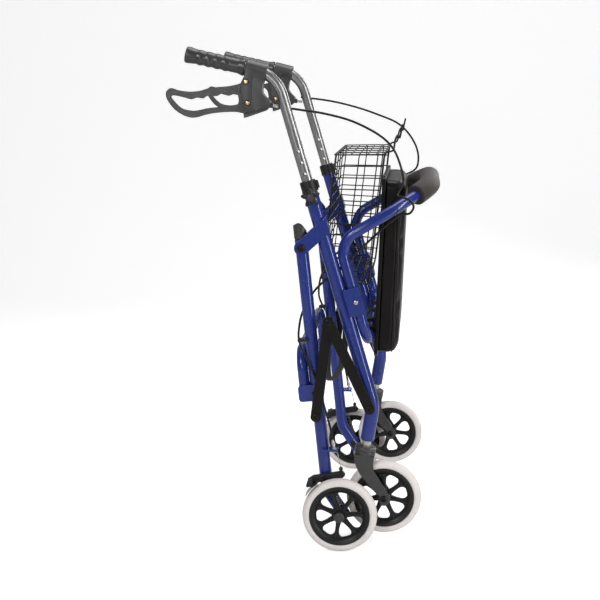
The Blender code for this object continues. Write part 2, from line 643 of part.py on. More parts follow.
def handle(side, sign, front):
    y = sign * FRAME_Y
    holder = body("handle_" + side + "_slide", with_y(MAIN_TOP, y), front)
    tube = sweep("handle_tube_" + side, handle_path(y), HANDLE_R, "bare_steel")
    for index in range(7):
        spot = with_y(MAIN_TOP - MAIN_DOWN * (HOLE_ABOVE_TOP + HOLE_PITCH * (index - 4)), y)
        cut(tube, rod("height_hole_tool_%s_%d" % (side, index), spot + Vector((0, sign * 6 * MM, 0)),
                      spot + Vector((0, sign * 16 * MM, 0)), 3.2 * MM, "bare_steel", 8))
    hang(tube, holder)

    grip_from = Vector((GRIP_START_X, y, GRIP_START_Z))
    grip = rod("grip_" + side, grip_from, grip_from + GRIP_BACK * GRIP_LENGTH, GRIP_R, "grip_rubber")
    core = rod("grip_core_tool_" + side, grip_from - GRIP_BACK * 20 * MM,
               grip_from + GRIP_BACK * (GRIP_LENGTH - 5 * MM), HANDLE_R + 0.4 * MM, "grip_rubber")
    cut(grip, core)
    hang(grip, holder)

    housing_xz = [(-188, 985), (-147, 976), (-141, 963), (-153, 949), (-158.5, 935), (-156.5, 919),
                  (-143, 903.6), (-147, 892), (-167, 880), (-190.5, 871), (-194, 895), (-193.5, 939),
                  (-189.5, 955)]
    outline = [(x * MM, z * MM) for x, z in housing_xz]
    housing = plate("brake_housing_" + side, outline, y - HOUSING_HALF, y + HOUSING_HALF, "grey_plastic")
    cut(housing, sweep("housing_bore_tool_" + side, handle_path(y, 40 * MM), HANDLE_R + 0.5 * MM, "grey_plastic"))
    slot = [(-210 * MM, 868 * MM), (-167 * MM, 868 * MM), (-167 * MM, 951 * MM), (-210 * MM, 951 * MM)]
    cut(housing, plate("lever_slot_tool_" + side, slot, y - LEVER_HALF - 1 * MM, y + LEVER_HALF + 1 * MM,
                       "grey_plastic"))
    fuse(housing, rod("lever_pin_tool_" + side, at(LEVER_PIVOT, y - HOUSING_HALF - 2 * MM),
                      at(LEVER_PIVOT, y + HOUSING_HALF + 2 * MM), 3 * MM, "grey_plastic", 12))
    hang(housing, holder)

    lever_joint = body("brake_lever_" + side + "_joint", at(LEVER_PIVOT, y), holder)
    outer_xz = [(-199, 937.5), (-231, 931), (-272, 925), (-320, 927.5), (-339, 927), (-349, 919), (-343, 903),
                (-325, 885), (-305, 876), (-285, 874.5), (-266, 880), (-236, 883.5), (-200, 882), (-180, 884),
                (-176, 925), (-176, 944), (-187, 948), (-198, 944)]
    lever = plate("brake_lever_" + side, [(x * MM, z * MM) for x, z in outer_xz],
                  y - LEVER_HALF, y + LEVER_HALF, "grey_plastic")
    window_xz = [(-214, 921), (-240, 917), (-272, 911.5), (-322, 914), (-333, 911), (-330, 903), (-316, 893.5),
                 (-302, 888), (-286, 887), (-268, 892), (-238, 896), (-213, 895)]
    cut(lever, plate("lever_window_tool_" + side, [(x * MM, z * MM) for x, z in window_xz],
                     y - 20 * MM, y + 20 * MM, "grey_plastic"))
    cut(lever, rod("lever_pin_hole_tool_" + side, at(LEVER_PIVOT, y - 20 * MM), at(LEVER_PIVOT, y + 20 * MM),
                   3.4 * MM, "grey_plastic", 12))
    hang(lever, lever_joint)


# ---- wheels ----------------------------------------------------------------------------------------------
def wheel(prefix, side, centre, hub_half, bore, parent):
    holder = body(prefix + "_wheel_" + side + "_joint", centre, parent)
    half = TYRE_W / 2
    ring_profile = [(56 * MM, -11 * MM), (60 * MM, -12 * MM), (RIM_R, -12 * MM),
                    (RIM_R, 12 * MM), (60 * MM, 12 * MM), (56 * MM, 11 * MM)]
    rim = lathe(prefix + "_rim_" + side, ring_profile, 30, "black_plastic")
    rim.location = centre
    hub_profile = [(bore, -hub_half), (14 * MM, -hub_half), (17 * MM, -8 * MM), (17 * MM, 8 * MM),
                   (14 * MM, hub_half), (bore, hub_half)]
    hub = lathe(prefix + "_hub_tool_" + side, hub_profile, 15, "black_plastic")
    spokes = bmesh.new()
    for index in range(SPOKES):
        angle = 2 * math.pi * index / SPOKES + math.pi / 2
        ray = Vector((math.cos(angle), 0, math.sin(angle)))
        wide = Vector((-math.sin(angle), 0, math.cos(angle)))
        corners = []
        for r, w in ((15.2, 5.2), (58, 4.0), (58, -4.0), (15.2, -5.2)):
            corners.append(ray * r * MM + wide * w * MM)
        low = [spokes.verts.new(c + Vector((0, -6 * MM, 0))) for c in corners]
        high = [spokes.verts.new(c + Vector((0, 6 * MM, 0))) for c in corners]
        spokes.faces.new(low)
        spokes.faces.new(high)
        for k in range(4):
            spokes.faces.new((low[k], low[(k + 1) % 4], high[(k + 1) % 4], high[k]))
    web = add_object(prefix + "_spokes_tool_" + side, spokes, "black_plastic")
    fuse(rim, web)
    fuse(rim, hub)
    for helper in (web, hub):
        helper.matrix_parent_inverse.identity()
    move_to(rim, holder)

    tyre_profile = [(RIM_R + GAP, -11 * MM), (64 * MM, -half), (71 * MM, -half), (WHEEL_R, -6 * MM),
                    (WHEEL_R, 6 * MM), (71 * MM, half), (64 * MM, half), (RIM_R + GAP, 11 * MM)]
    tyre = lathe(prefix + "_tyre_" + side, tyre_profile, 30, "tyre_grey")
    move_to(tyre, holder)


def move_to(obj, holder):
    """Hangs a piece that was modelled about its own joint."""
    obj.location = (0, 0, 0)
    obj.parent = holder


def caster(side, sign, front):
    y = sign * FRAME_Y
    holder = body("caster_" + side + "_joint", with_y(STEM_END, y), front)
    arm = [(14, -20), (14, 20), (42, 21), (66, 32), (88, 52)]
    outline = [stem_xz(a * MM, f * MM) for a, f in arm]
    hub = (FRONT_HUB.x, FRONT_HUB.z)
    outline += arc(hub, 14 * MM, 45, -150, 8)
    outline += [stem_xz(a * MM, f * MM) for a, f in ((88, 22), (66, 3), (44, -14), (38, -19))]
    fork = plate("caster_fork_" + side, outline, y - 21.5 * MM, y + 21.5 * MM, "grey_plastic")
    wheel_room = [stem_xz(a * MM, f * MM) for a, f in ((37, -40), (37, 90), (140, 90), (140, -40))]
    cut(fork, plate("wheel_room_tool_" + side, wheel_room, y - 15.5 * MM, y + 15.5 * MM, "grey_plastic"))
    crown_cut = with_y(STEM_END, y)
    stem = rod("stem_tool_" + side, crown_cut - STEM_DOWN * 38 * MM, crown_cut + STEM_DOWN * 20 * MM,
               6 * MM, "grey_plastic")
    fuse(fork, stem)
    washer = rod("stem_washer_tool_" + side, crown_cut + STEM_DOWN * 1 * MM, crown_cut + STEM_DOWN * 15 * MM,
                 10.5 * MM, "grey_plastic")
    fuse(fork, washer)
    cut(fork, rod("fork_hole_tool_" + side, at(hub, y - 30 * MM), at(hub, y + 30 * MM), BOLT_R + GAP,
                  "grey_plastic"))
    hang(fork, holder)
    axle = rod("front_axle_" + side, at(hub, y - 23 * MM), at(hub, y + 23 * MM), BOLT_R, "bare_steel")
    for end in (-1, 1):
        fuse(axle, rod("axle_end_tool_%s%d" % (side, end), at(hub, y + end * 21.9 * MM),
                       at(hub, y + end * 26.5 * MM), 7 * MM, "bare_steel", 6))
    hang(axle, holder)
    wheel("front", side, with_y(FRONT_HUB, y), 14.6 * MM, BOLT_R + GAP, holder)


# ---- brake arm -----------------------------------------------------------------------------------------------
def brake_arm(side, sign, rear):
    """A bar beside the tyre that carries a curved shoe just clear of the tread."""
    holder = body("brake_arm_" + side + "_joint", at(BRAKE_PIVOT, sign * FRAME_Y), rear)
    inner, bar_outer, web_outer, shoe_outer = 262.2 * MM, 268 * MM, 290 * MM, 297 * MM
    shoe_inner = inner + 0.8 * MM
    shoe_low, shoe_high = WHEEL_R + 3.6 * MM, WHEEL_R + 7.5 * MM
    bar_xz = [(-68, 139), (-60, 133), (-30, 141), (8, 148), (13, 155), (8, 162), (-30, 157), (-62, 149)]
    arm = plate("brake_arm_" + side, [(x * MM, z * MM) for x, z in bar_xz], sign * inner, sign * bar_outer,
                "black_plastic")
    shoe = arc(REAR_HUB, shoe_low, 126, 147, 5) + arc(REAR_HUB, shoe_high, 147, 126, 5)
    fuse(arm, plate("shoe_tool_" + side, shoe, sign * shoe_inner, sign * shoe_outer, "bare_steel"))
    web_xz = [(-66, 137), (-56, 139.5), (-56, 145), (-64, 145)]
    fuse(arm, plate("shoe_web_tool_" + side, [(x * MM, z * MM) for x, z in web_xz], sign * shoe_inner,
                    sign * web_outer, "black_plastic"))
    hang(arm, holder)


# ---- assembly ------------------------------------------------------------------------------------------------
def pivot_bolt(side, sign, holder):
    reach = FRAME_Y + 16 * MM
    bolt = rod("pivot_bolt_" + side, at(FOLD_PIVOT, sign * (FRAME_Y - 20 * MM)),
               at(FOLD_PIVOT, sign * (reach + 4 * MM)), BOLT_R, "black_steel")
    for start, end, radius in ((reach + GAP, reach + 6 * MM, 8 * MM),
                               (FRAME_Y - 16 * MM - GAP, FRAME_Y - 22 * MM, 7.5 * MM)):
        fuse(bolt, rod("bolt_head_tool_%s_%d" % (side, round(radius * 10000)), at(FOLD_PIVOT, sign * start),
                       at(FOLD_PIVOT, sign * end), radius, "black_steel"))
    hang(bolt, holder)


def build():
    for old in list(bpy.data.objects):
        bpy.data.objects.remove(old, do_unlink=True)
    datum = bpy.data.objects.new("datum", None)
    datum.location = DATUM
    bpy.context.scene.collection.objects.link(datum)
    fold_axis = at(FOLD_PIVOT)
    root = body("fold_axis", fold_axis)
    root.parent = datum
    front = body("front_frame", fold_axis, root)
    rear = body("rear_frame", fold_axis, root)
    rear_links = body("rear_brace_links", at(LINK_A), rear)
    front_links = body("front_brace_links", at(LINK_B), front)
    strap = body("fold_strap_hang", at(LINK_APEX), front_links)
    seat_body = body("seat", SEAT_HINGE, front)
    basket_body = body("basket_slide", SEAT_HINGE, seat_body)
    for side, sign in SIDES:
        pivot_bolt(side, sign, root)
        main_tube(side, sign, front)
        height_collar(side, sign, front)
        height_knob(side, sign, front)
        backrest_bracket(side, sign, front)
        handle(side, sign, front)
        caster(side, sign, front)
        rear_leg(side, sign, rear)
        leg_plug(side, sign, rear)
        rear_axle(side, sign, rear)
        brake_cable(side, sign, rear)
        brake_arm(side, sign, rear)
        wheel("rear", side, at(REAR_HUB, sign * REAR_WHEEL_Y), 18.5 * MM, 5.3 * MM, rear)
        brace_link("rear_link_" + side, LINK_A, LINK_APEX, REAR_LINK_Y, sign, BOLT_R + GAP, 5 * MM, rear_links)
        brace_link("front_link_" + side, LINK_B, LINK_APEX, FRONT_LINK_Y, sign, BOLT_R + GAP, BOLT_R + GAP,
                   front_links)
        link_bolt("rear_link_bolt_" + side, LINK_A, FRAME_Y + LEG_R, REAR_LINK_Y, sign, rear)
        link_bolt("front_link_bolt_" + side, LINK_B, FRAME_Y + MAIN_R, FRONT_LINK_Y, sign, front)
        apex_rivet(side, sign, front_links)
    backrest(front)
    front_crossbar(front)
    rear_crossbar(rear)
    fold_strap(strap)
    seat(seat_body)
    basket(basket_body)


build()
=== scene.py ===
"""Looks of the folding four-wheel rollator walker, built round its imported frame.

Every piece is placed from the frame's joints.  In side view the walker is laid out from a
datum on the floor straight below the rear axle: spot(x, z, y) turns datum millimetres into
a place in the frame.  Right is -Y, left is +Y, and +X is forward.
"""

import json
from math import atan2, copysign, cos, degrees, exp, pi, radians, sin, tan

import bmesh
import bpy
from mathutils import Matrix, Vector
from mathutils.bvhtree import BVHTree


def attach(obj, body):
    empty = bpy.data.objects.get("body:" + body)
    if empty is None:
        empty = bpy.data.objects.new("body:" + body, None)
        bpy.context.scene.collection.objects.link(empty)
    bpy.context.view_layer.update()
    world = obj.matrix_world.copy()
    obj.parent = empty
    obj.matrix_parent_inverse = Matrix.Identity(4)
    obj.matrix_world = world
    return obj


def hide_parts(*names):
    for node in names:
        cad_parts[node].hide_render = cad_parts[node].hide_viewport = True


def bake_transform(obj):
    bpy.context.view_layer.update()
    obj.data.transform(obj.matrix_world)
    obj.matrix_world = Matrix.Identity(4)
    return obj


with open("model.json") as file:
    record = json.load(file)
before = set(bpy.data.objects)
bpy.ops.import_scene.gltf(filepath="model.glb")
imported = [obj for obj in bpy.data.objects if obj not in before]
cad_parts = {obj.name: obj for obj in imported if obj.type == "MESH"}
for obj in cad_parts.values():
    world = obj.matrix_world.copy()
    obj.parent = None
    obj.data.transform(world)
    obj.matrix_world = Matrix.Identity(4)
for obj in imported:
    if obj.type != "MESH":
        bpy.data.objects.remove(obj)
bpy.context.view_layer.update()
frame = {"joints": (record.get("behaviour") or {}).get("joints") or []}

MM = 0.001
SIDES = (("left", 1), ("right", -1))
ACROSS = Vector((0, 1, 0))
FOLD = "fold_pivot_bolts"


# ---- the frame's own points ----
def joint(name):
    return next(j for j in frame["joints"] if j["name"] == name)


def joint_point(name):
    """The joint's place, moved onto the mid plane."""
    x, _, z = joint(name)["pos_m"]
    return Vector((x, 0.0, z))


def joint_axis(name):
    return Vector(joint(name)["axis"]).normalized()


def crossing(point, along, other, other_along):
    """Where two lines in the side plane meet."""
    gap = other - point
    share = (gap.x * other_along.z - gap.z * other_along.x)
    return point + along * share / (along.x * other_along.z - along.z * other_along.x)


REAR_HUB = joint_point("rear_wheel_left_spin")
FRONT_HUB = joint_point("front_wheel_left_spin")
FOLD_PIVOT = joint_point("rear_leg_swing")
LINK_A = joint_point("rear_link_swing")
LINK_B = joint_point("front_link_swing")
LINK_APEX = joint_point("fold_strap_hang")
SEAT_HINGE = joint_point("seat_fold")
BRAKE_PIVOT = joint_point("brake_arm_left_press")
KNOB = joint_point("height_knob_left_turn")
STEM_END = joint_point("caster_left_swivel")
FRAME_Y = joint("caster_left_swivel")["pos_m"][1]
REAR_WHEEL_Y = joint("rear_wheel_left_spin")["pos_m"][1]

MAIN_UP = joint_axis("handle_height_left")
MAIN_FRONT = Vector((MAIN_UP.z, 0, -MAIN_UP.x))
STEM_UP = joint_axis("caster_left_swivel")
STEM_FRONT = Vector((STEM_UP.z, 0, -STEM_UP.x))
SEAT_UP = -joint_axis("basket_slide")
SEAT_BACK = Vector((-SEAT_UP.z, 0, SEAT_UP.x))
LEG_DOWN = (BRAKE_PIVOT - FOLD_PIVOT).normalized()
LEG_BACK = Vector((LEG_DOWN.z, 0, -LEG_DOWN.x))

WHEEL_R = REAR_HUB.z
MAIN_R = 14.3 * MM
LEG_R = 12.7 * MM
BAR_R = 11.1 * MM                    # handle tubes, backrest tube and crossbars
FIT = 0.3 * MM                       # gap between pieces that fit into each other
TUBE_GAP = MAIN_R + BAR_R + FIT
MAIN_TOP = KNOB + MAIN_UP * 21 * MM
MAIN_BEND = crossing(KNOB, MAIN_UP, STEM_END, STEM_UP)
LEG_BEND = FOLD_PIVOT + LEG_DOWN * ((FOLD_PIVOT.z - 117 * MM) / -LEG_DOWN.z)
OPEN_TURN = Matrix.Rotation(radians(-50.4), 3, "Y")      # of the main tube against the leg, when fully open
BAR_SIDES = 36


def spot(x_mm, z_mm, y=0.0):
    """A place given in datum millimetres; y is in metres."""
    return Vector((REAR_HUB.x + x_mm * MM, y, z_mm * MM))


def spots(pairs):
    return [spot(x, z) for x, z in pairs]


def at_y(point, y):
    return Vector((point.x, y, point.z))


def flat(y, *points):
    """The points, all moved to one y."""
    return [at_y(point, y) for point in points]


def main_at(z_mm):
    """The main tube's axis at a height."""
    return KNOB + MAIN_UP * ((z_mm * MM - KNOB.z) / MAIN_UP.z)


def leg_at(z_mm):
    return FOLD_PIVOT + LEG_DOWN * ((z_mm * MM - FOLD_PIVOT.z) / LEG_DOWN.z)


def seat_at(up, back, y=0.0):
    return at_y(SEAT_HINGE + SEAT_UP * up + SEAT_BACK * back, y)


# ---- materials ----
def feed(tree, node, inputs):
    """Sets a shader node's inputs, each to a value or to another node's output."""
    for key, value in inputs.items():
        if hasattr(value, "is_output"):
            tree.links.new(value, node.inputs[key])
        else:
            node.inputs[key].default_value = value


def add_node(tree, kind, inputs, output=0, **settings):
    node = tree.nodes.new("ShaderNode" + kind)
    for key, value in settings.items():
        setattr(node, key, value)
    feed(tree, node, inputs)
    return node.outputs[output]


def mix(tree, factor, first, second):
    return add_node(tree, "Mix", {0: factor, 6: first, 7: second}, 2, data_type="RGBA")


def spread(tree, value, low, high, to_low, to_high):
    limits = {"Value": value, "From Min": low, "From Max": high, "To Min": to_low, "To Max": to_high}
    return add_node(tree, "MapRange", limits, "Result")


def texture(tree, kind, output, inputs, **settings):
    """A procedural texture in the object's own space."""
    where = add_node(tree, "TexCoord", {}, "Object")
    return add_node(tree, "Tex" + kind, {"Vector": where, **inputs}, output, **settings)


def noise(tree, scale, detail=3.0):
    return texture(tree, "Noise", "Fac", {"Scale": scale, "Detail": detail})


def cells(tree, scale, feature="F1"):
    return texture(tree, "Voronoi", "Distance", {"Scale": scale}, feature=feature)


def weave(tree, pitch):
    """Crossed ribs of the given pitch, in metres."""
    ribs = [texture(tree, "Wave", "Fac", {"Scale": 0.314 / pitch}, bands_direction=way) for way in ("X", "Y")]
    return add_node(tree, "Math", {0: ribs[0], 1: ribs[1]}, operation="MULTIPLY")


def finish(name, colour, roughness, metallic=0.0, mottle=0.12, mottle_scale=40.0, grain=None, depth=0.1,
           coat=0.0, sheen=0.0, edge=None, gloss=0.25):
    """A finish with mottled colour, uneven roughness and, if given, a grain and worn edges of a colour.

    The grain is one of the texture functions above and its numbers.
    """
    made = bpy.data.materials.new(name)
    made.use_nodes = True
    tree = made.node_tree
    patch = spread(tree, noise(tree, mottle_scale, 4.0), 0.3, 0.7, 0.0, 1.0)
    dark = [part * (1 - mottle) for part in colour]
    light = [min(1.0, part * (1 + mottle)) for part in colour]
    tint = mix(tree, patch, dark + [1.0], light + [1.0])
    if edge:
        worn = spread(tree, add_node(tree, "NewGeometry", {}, "Pointiness"), 0.54, 0.62, 0.0, 0.55)
        tint = mix(tree, worn, tint, (*edge, 1.0))
    shine = noise(tree, mottle_scale * 3)
    rough = spread(tree, shine, 0.3, 0.7, roughness * 0.85, min(1.0, roughness * 1.15))
    inputs = {"Base Color": tint, "Roughness": rough, "Metallic": metallic, "Specular IOR Level": gloss,
              "Coat Weight": coat, "Coat Roughness": 0.12, "Sheen Weight": sheen}
    if grain:
        bump = {"Strength": depth, "Distance": 0.3 * MM, "Height": grain[0](tree, *grain[1:])}
        inputs["Normal"] = add_node(tree, "Bump", bump, "Normal")
    feed(tree, tree.nodes["Principled BSDF"], inputs)
    return made


BLUE = finish("painted_blue", (0.0105, 0.0255, 0.190), 0.26, mottle=0.03, mottle_scale=9,
              grain=(noise, 900, 2), depth=0.03, coat=0.3, edge=(0.04, 0.07, 0.32), gloss=0.35)
BLACK = finish("black_moulding", (0.014, 0.0135, 0.0135), 0.42, grain=(cells, 1800), depth=0.12,
               edge=(0.05, 0.047, 0.046), gloss=0.3)
CHARCOAL = finish("charcoal_moulding", (0.040, 0.0375, 0.038), 0.36, grain=(cells, 2200), depth=0.12,
                  edge=(0.13, 0.12, 0.12), gloss=0.5)
GRIP = finish("grip_rubber", (0.034, 0.032, 0.032), 0.34, grain=(cells, 900), depth=0.14,
              edge=(0.08, 0.076, 0.076), gloss=0.6)
STEEL = finish("satin_tube", (0.31, 0.31, 0.315), 0.34, metallic=0.95, mottle=0.06, mottle_scale=30,
               gloss=0.5)
ZINC = finish("zinc_plate", (0.50, 0.49, 0.47), 0.34, metallic=1.0, mottle=0.15, mottle_scale=200, gloss=0.5)
BRASS = finish("brass_screw", (0.66, 0.52, 0.26), 0.3, metallic=1.0, mottle=0.1, mottle_scale=200, gloss=0.5)
BLACK_METAL = finish("black_paint", (0.0055, 0.0045, 0.004), 0.36, mottle=0.15, grain=(noise, 1200, 2),
                     depth=0.05, coat=0.04, edge=(0.05, 0.044, 0.042), gloss=0.18)
TYRE = finish("pale_tyre", (0.76, 0.72, 0.70), 0.62, mottle=0.04, mottle_scale=120,
              grain=(noise, 1500, 3), depth=0.12, edge=(0.82, 0.78, 0.77))
FOAM = finish("foam_tube", (0.034, 0.027, 0.024), 0.62, mottle=0.10, mottle_scale=160,
              grain=(cells, 1300), depth=0.35, sheen=0.08, gloss=0.35)
VINYL = finish("vinyl", (0.0055, 0.0043, 0.0039), 0.36, mottle=0.2, mottle_scale=30,
               grain=(cells, 750, "SMOOTH_F1"), depth=0.25, coat=0.03, edge=(0.03, 0.027, 0.025),
               gloss=0.2)
WEBBING = finish("webbing", (0.009, 0.0085, 0.0085), 0.85, mottle=0.25, mottle_scale=300,
                 grain=(weave, 1.6 * MM), depth=0.9, sheen=0.1)
WIRE = finish("wire_coating", (0.010, 0.0095, 0.009), 0.38, mottle=0.1, coat=0.1)
CABLE = finish("cable_sheath", (0.009, 0.0088, 0.0088), 0.42, mottle=0.1, grain=(noise, 1500, 2),
               depth=0.08)


# ---- mesh helpers ----
def add_to_scene(name, data):
    obj = bpy.data.objects.new(name, data)
    bpy.context.scene.collection.objects.link(obj)
    return obj


def mesh_object(name, bm, material):
    mesh = bpy.data.meshes.new(name)
    bm.to_mesh(mesh)
    bm.free()
    mesh.materials.append(material)
    return add_to_scene(name, mesh)


def smooth(mesh, sharp_deg):
    """Smooth shading, but for edges sharper than the angle."""
    mesh.shade_smooth()
    mesh.set_sharp_from_angle(angle=radians(sharp_deg))


def to_object(name, bm, material, sharp_deg=40):
    bmesh.ops.recalc_face_normals(bm, faces=bm.faces)
    obj = mesh_object(name, bm, material)
    smooth(obj.data, sharp_deg)
    return obj


def apply_modifiers(obj):
    bpy.context.view_layer.update()
    evaluated = obj.evaluated_get(bpy.context.evaluated_depsgraph_get())
    obj.data = bpy.data.meshes.new_from_object(evaluated)
    obj.modifiers.clear()


def bake(obj, sharp_deg=40):
    """Applies the object's modifiers and drops the helpers they used."""
    helpers = [m.object for m in obj.modifiers if m.type == "BOOLEAN"]
    rounded = any(m.type == "BEVEL" for m in obj.modifiers)
    apply_modifiers(obj)
    smooth(obj.data, sharp_deg)
    for helper in helpers:
        bpy.data.objects.remove(helper, do_unlink=True)
    if rounded:
        obj.modifiers.new("flat_faces_first", "WEIGHTED_NORMAL").keep_sharp = True
        apply_modifiers(obj)
    return obj


def bevel(obj, width, segments=3, angle_deg=35):
    rounding = obj.modifiers.new("rounding", "BEVEL")
    rounding.width = width
    rounding.segments = segments
    rounding.limit_method = "ANGLE"
    rounding.angle_limit = radians(angle_deg)
    rounding.use_clamp_overlap = True


def boolean(obj, helper, operation="DIFFERENCE"):
    change = obj.modifiers.new(operation.lower(), "BOOLEAN")
    change.operation = operation
    change.solver = "EXACT"
    change.object = helper


def merge(name, pieces):
    """Joins pieces of one material into one object."""
    bm = bmesh.new()
    for piece in pieces:
        bm.from_mesh(piece.data)
    obj = mesh_object(name, bm, pieces[0].data.materials[0])
    for piece in pieces:
        bpy.data.objects.remove(piece, do_unlink=True)
    return obj


def place(obj, body, *nodes):
    """The piece rides on a body and stands for the CAD nodes named."""
    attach(obj, body)
    if nodes:
        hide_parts(*nodes)


def spline(points, steps=8, closed=False):
    """A smooth curve through the points."""
    count = len(points)
    found = []
    for index in range(count if closed else count - 1):
        around = [index + k - 1 for k in range(4)]
        if closed:
            a, b, c, d = (points[k % count] for k in around)
        else:
            a, b, c, d = (points[min(max(k, 0), count - 1)] for k in around)
        for step in range(steps):
            t = step / steps
            found.append(0.5 * ((2 * b) + (c - a) * t + (2 * a - 5 * b + 4 * c - d) * t * t
                                + (3 * b - a - 3 * c + d) * t ** 3))
    if not closed:
        found.append(points[-1].copy())
    return found


def fillet(before, corner, after, radius, steps):
    """The arc that rounds a corner between two straight runs."""
    into = (corner - before).normalized()
    out = (after - corner).normalized()
    turn = into.angle(out)
    if turn < 0.02 or radius == 0:
        return [corner.copy()]
    centre = corner + (out - into).normalized() * (radius / cos(turn / 2))
    start = corner - into * (radius * tan(turn / 2)) - centre
    axis = into.cross(out).normalized()
    angles = [turn * step / steps for step in range(steps + 1)]
    return [centre + start * cos(angle) + axis.cross(start) * sin(angle) for angle in angles]


def rounded_path(corners, radii, steps=14):
    """A polyline through the corners, each inner corner replaced by an arc of its radius."""
    points = [corners[0].copy()]
    for before, corner, after, radius in zip(corners, corners[1:], corners[2:], radii):
        points += fillet(before, corner, after, radius, steps)
    return points + [corners[-1].copy()]


def rounded_outline(corners, radius, steps=6):
    """A closed outline with rounded corners, by one radius or one for each corner."""
    radii = radius if isinstance(radius, list) else [radius] * len(corners)
    points = []
    for index, corner in enumerate(corners):
        points += fillet(corners[index - 1], corner, corners[(index + 1) % len(corners)], radii[index], steps)
    return points


def arc(centre, radius, start_deg, end_deg, steps=12):
    angles = [radians(start_deg + (end_deg - start_deg) * step / steps) for step in range(steps + 1)]
    return [centre + Vector((radius * cos(angle), 0, radius * sin(angle))) for angle in angles]


def ring_frames(path, closed=False):
    """A tangent and two crosswise directions at each point of a path."""
    count = len(path)
    frames = []
    across = None
    for index in range(count):
        if closed:
            before, after = path[index - 1], path[(index + 1) % count]
        else:
            before, after = path[max(index - 1, 0)], path[min(index + 1, count - 1)]
        if not closed and 0 < index < count - 1:
            tangent = (after - path[index]).normalized() + (path[index] - before).normalized()
        else:
            tangent = after - before
        tangent.normalize()
        if across is None:
            across = ACROSS if abs(tangent.y) < 0.9 else Vector((1, 0, 0))
        across = (across - tangent * across.dot(tangent)).normalized()
        frames.append((tangent, across, tangent.cross(across)))
    return frames


def circle(bm, centre, across, up, radius, sides):
    """A ring of vertices; the radius may depend on the angle, and a zero radius makes one vertex."""
    if radius == 0:
        return [bm.verts.new(centre)]
    ring = []
    for k in range(sides):
        angle = 2 * pi * k / sides
        size = radius(angle) if callable(radius) else radius
        ring.append(bm.verts.new(centre + (across * cos(angle) + up * sin(angle)) * size))
    return ring


def skin(bm, rings, closed=False):
    """Faces from ring to ring, and caps where both ends are open rings."""
    for first, second in zip(rings, rings[1:] + rings[:1] if closed else rings[1:]):
        sides = max(len(first), len(second))
        for k in range(sides):
            n = (k + 1) % sides
            corners = (first[k % len(first)], first[n % len(first)], second[n % len(second)],
                       second[k % len(second)])
            bm.faces.new(list(dict.fromkeys(corners)))
    if not closed and min(len(rings[0]), len(rings[-1])) > 1:
        bm.faces.new(rings[0])
        bm.faces.new(rings[-1])


def add_bar(bm, path, radius, sides=BAR_SIDES, chamfer=0.0, closed=False):
    """Adds a solid round bar along the path; its ends are chamfered flats."""
    spine = [(point, turn, radius) for point, turn in zip(path, ring_frames(path, closed))]
    if chamfer and not closed:
        (start, first, _), (end, last, _) = spine[0], spine[-1]
        spine[0] = (start + first[0] * chamfer, first, radius)
        spine[-1] = (end - last[0] * chamfer, last, radius)
        spine = [(start, first, radius - chamfer)] + spine + [(end, last, radius - chamfer)]
    skin(bm, [circle(bm, point, turn[1], turn[2], size, sides) for point, turn, size in spine], closed)


def bar(name, path, radius, material, sides=BAR_SIDES, chamfer=0.8 * MM, closed=False):
    bm = bmesh.new()
    add_bar(bm, path, radius, sides, chamfer, closed)
    return to_object(name, bm, material)


def pin(name, point, y_from, y_to, radius, material=BLACK_METAL, sides=24, chamfer=0.8 * MM):
    """A straight bar across the walker."""
    return bar(name, [at_y(point, y_from), at_y(point, y_to)], radius, material, sides, chamfer)


def thicken(bm, outline, along):
    """Turns a closed outline into a slab by moving it along a direction."""
    face = bm.faces.new([bm.verts.new(point) for point in outline])
    grown = bmesh.ops.extrude_face_region(bm, geom=[face])
    moved = [item for item in grown["geom"] if isinstance(item, bmesh.types.BMVert)]
    bmesh.ops.translate(bm, verts=moved, vec=along)


def plate(name, outline, y_from, y_to, material, rounding=0.0, segments=3):
    """A side-view outline (points with x and z) extruded across, with rounded edges."""
    bm = bmesh.new()
    thicken(bm, flat(y_from, *outline), ACROSS * (y_to - y_from))
    obj = to_object(name, bm, material)
    if rounding:
        bevel(obj, rounding, segments)
    return obj


def slab(name, outline, y, half, material, rounding=0.0, segments=3):
    return plate(name, outline, y - half, y + half, material, rounding, segments)


def carve(obj, outline, y, half):
    """Cuts a side-view outline out of a piece, as far as half to each side of y."""
    boolean(obj, slab("cutter", outline, y, half, obj.data.materials[0]))


def lathe(name, profile, centre, axis, material, sides=48, sharp_deg=35):
    """A turned shape, from (radius, along the axis) points in mm; a ring's profile ends where it starts."""
    axis = axis.normalized()
    across = Vector((0, 0, 1)) if abs(axis.z) < 0.9 else Vector((1, 0, 0))
    across = (across - axis * across.dot(axis)).normalized()
    closed = profile[0] == profile[-1]
    bm = bmesh.new()
    rings = []
    for radius, along in profile[:-1] if closed else profile:
        rings.append(circle(bm, centre + axis * along * MM, across, axis.cross(across), radius * MM, sides))
    skin(bm, rings, closed)
    return to_object(name, bm, material, sharp_deg)


def bolt_head(name, centre, axis, radius, height, material=BLACK_METAL):
    """A button head with a socket in its middle; radius and height in mm."""
    shares = [(1, 0), (1, 0.35), (0.93, 0.7), (0.72, 0.95), (0.45, 1), (0.42, 0.45), (0, 0.45)]
    profile = [(radius * wide, height * high) for wide, high in shares]
    return lathe(name, profile, centre, axis, material, 32, 30)


# ---- front frame ----
def box(place_of, first, last, low, high):
    """Four corners from a function of two coordinates."""
    return [place_of(a, b) for a, b in ((first, low), (last, low), (last, high), (first, high))]


def bow(name, foot, middle):
    """A bar from side to side; its ends turn towards the foot point."""
    corners = flat(-FRAME_Y, foot, middle) + flat(FRAME_Y, middle, foot)
    return bar(name, rounded_path(corners, [40 * MM, 40 * MM]), BAR_R, BLUE)


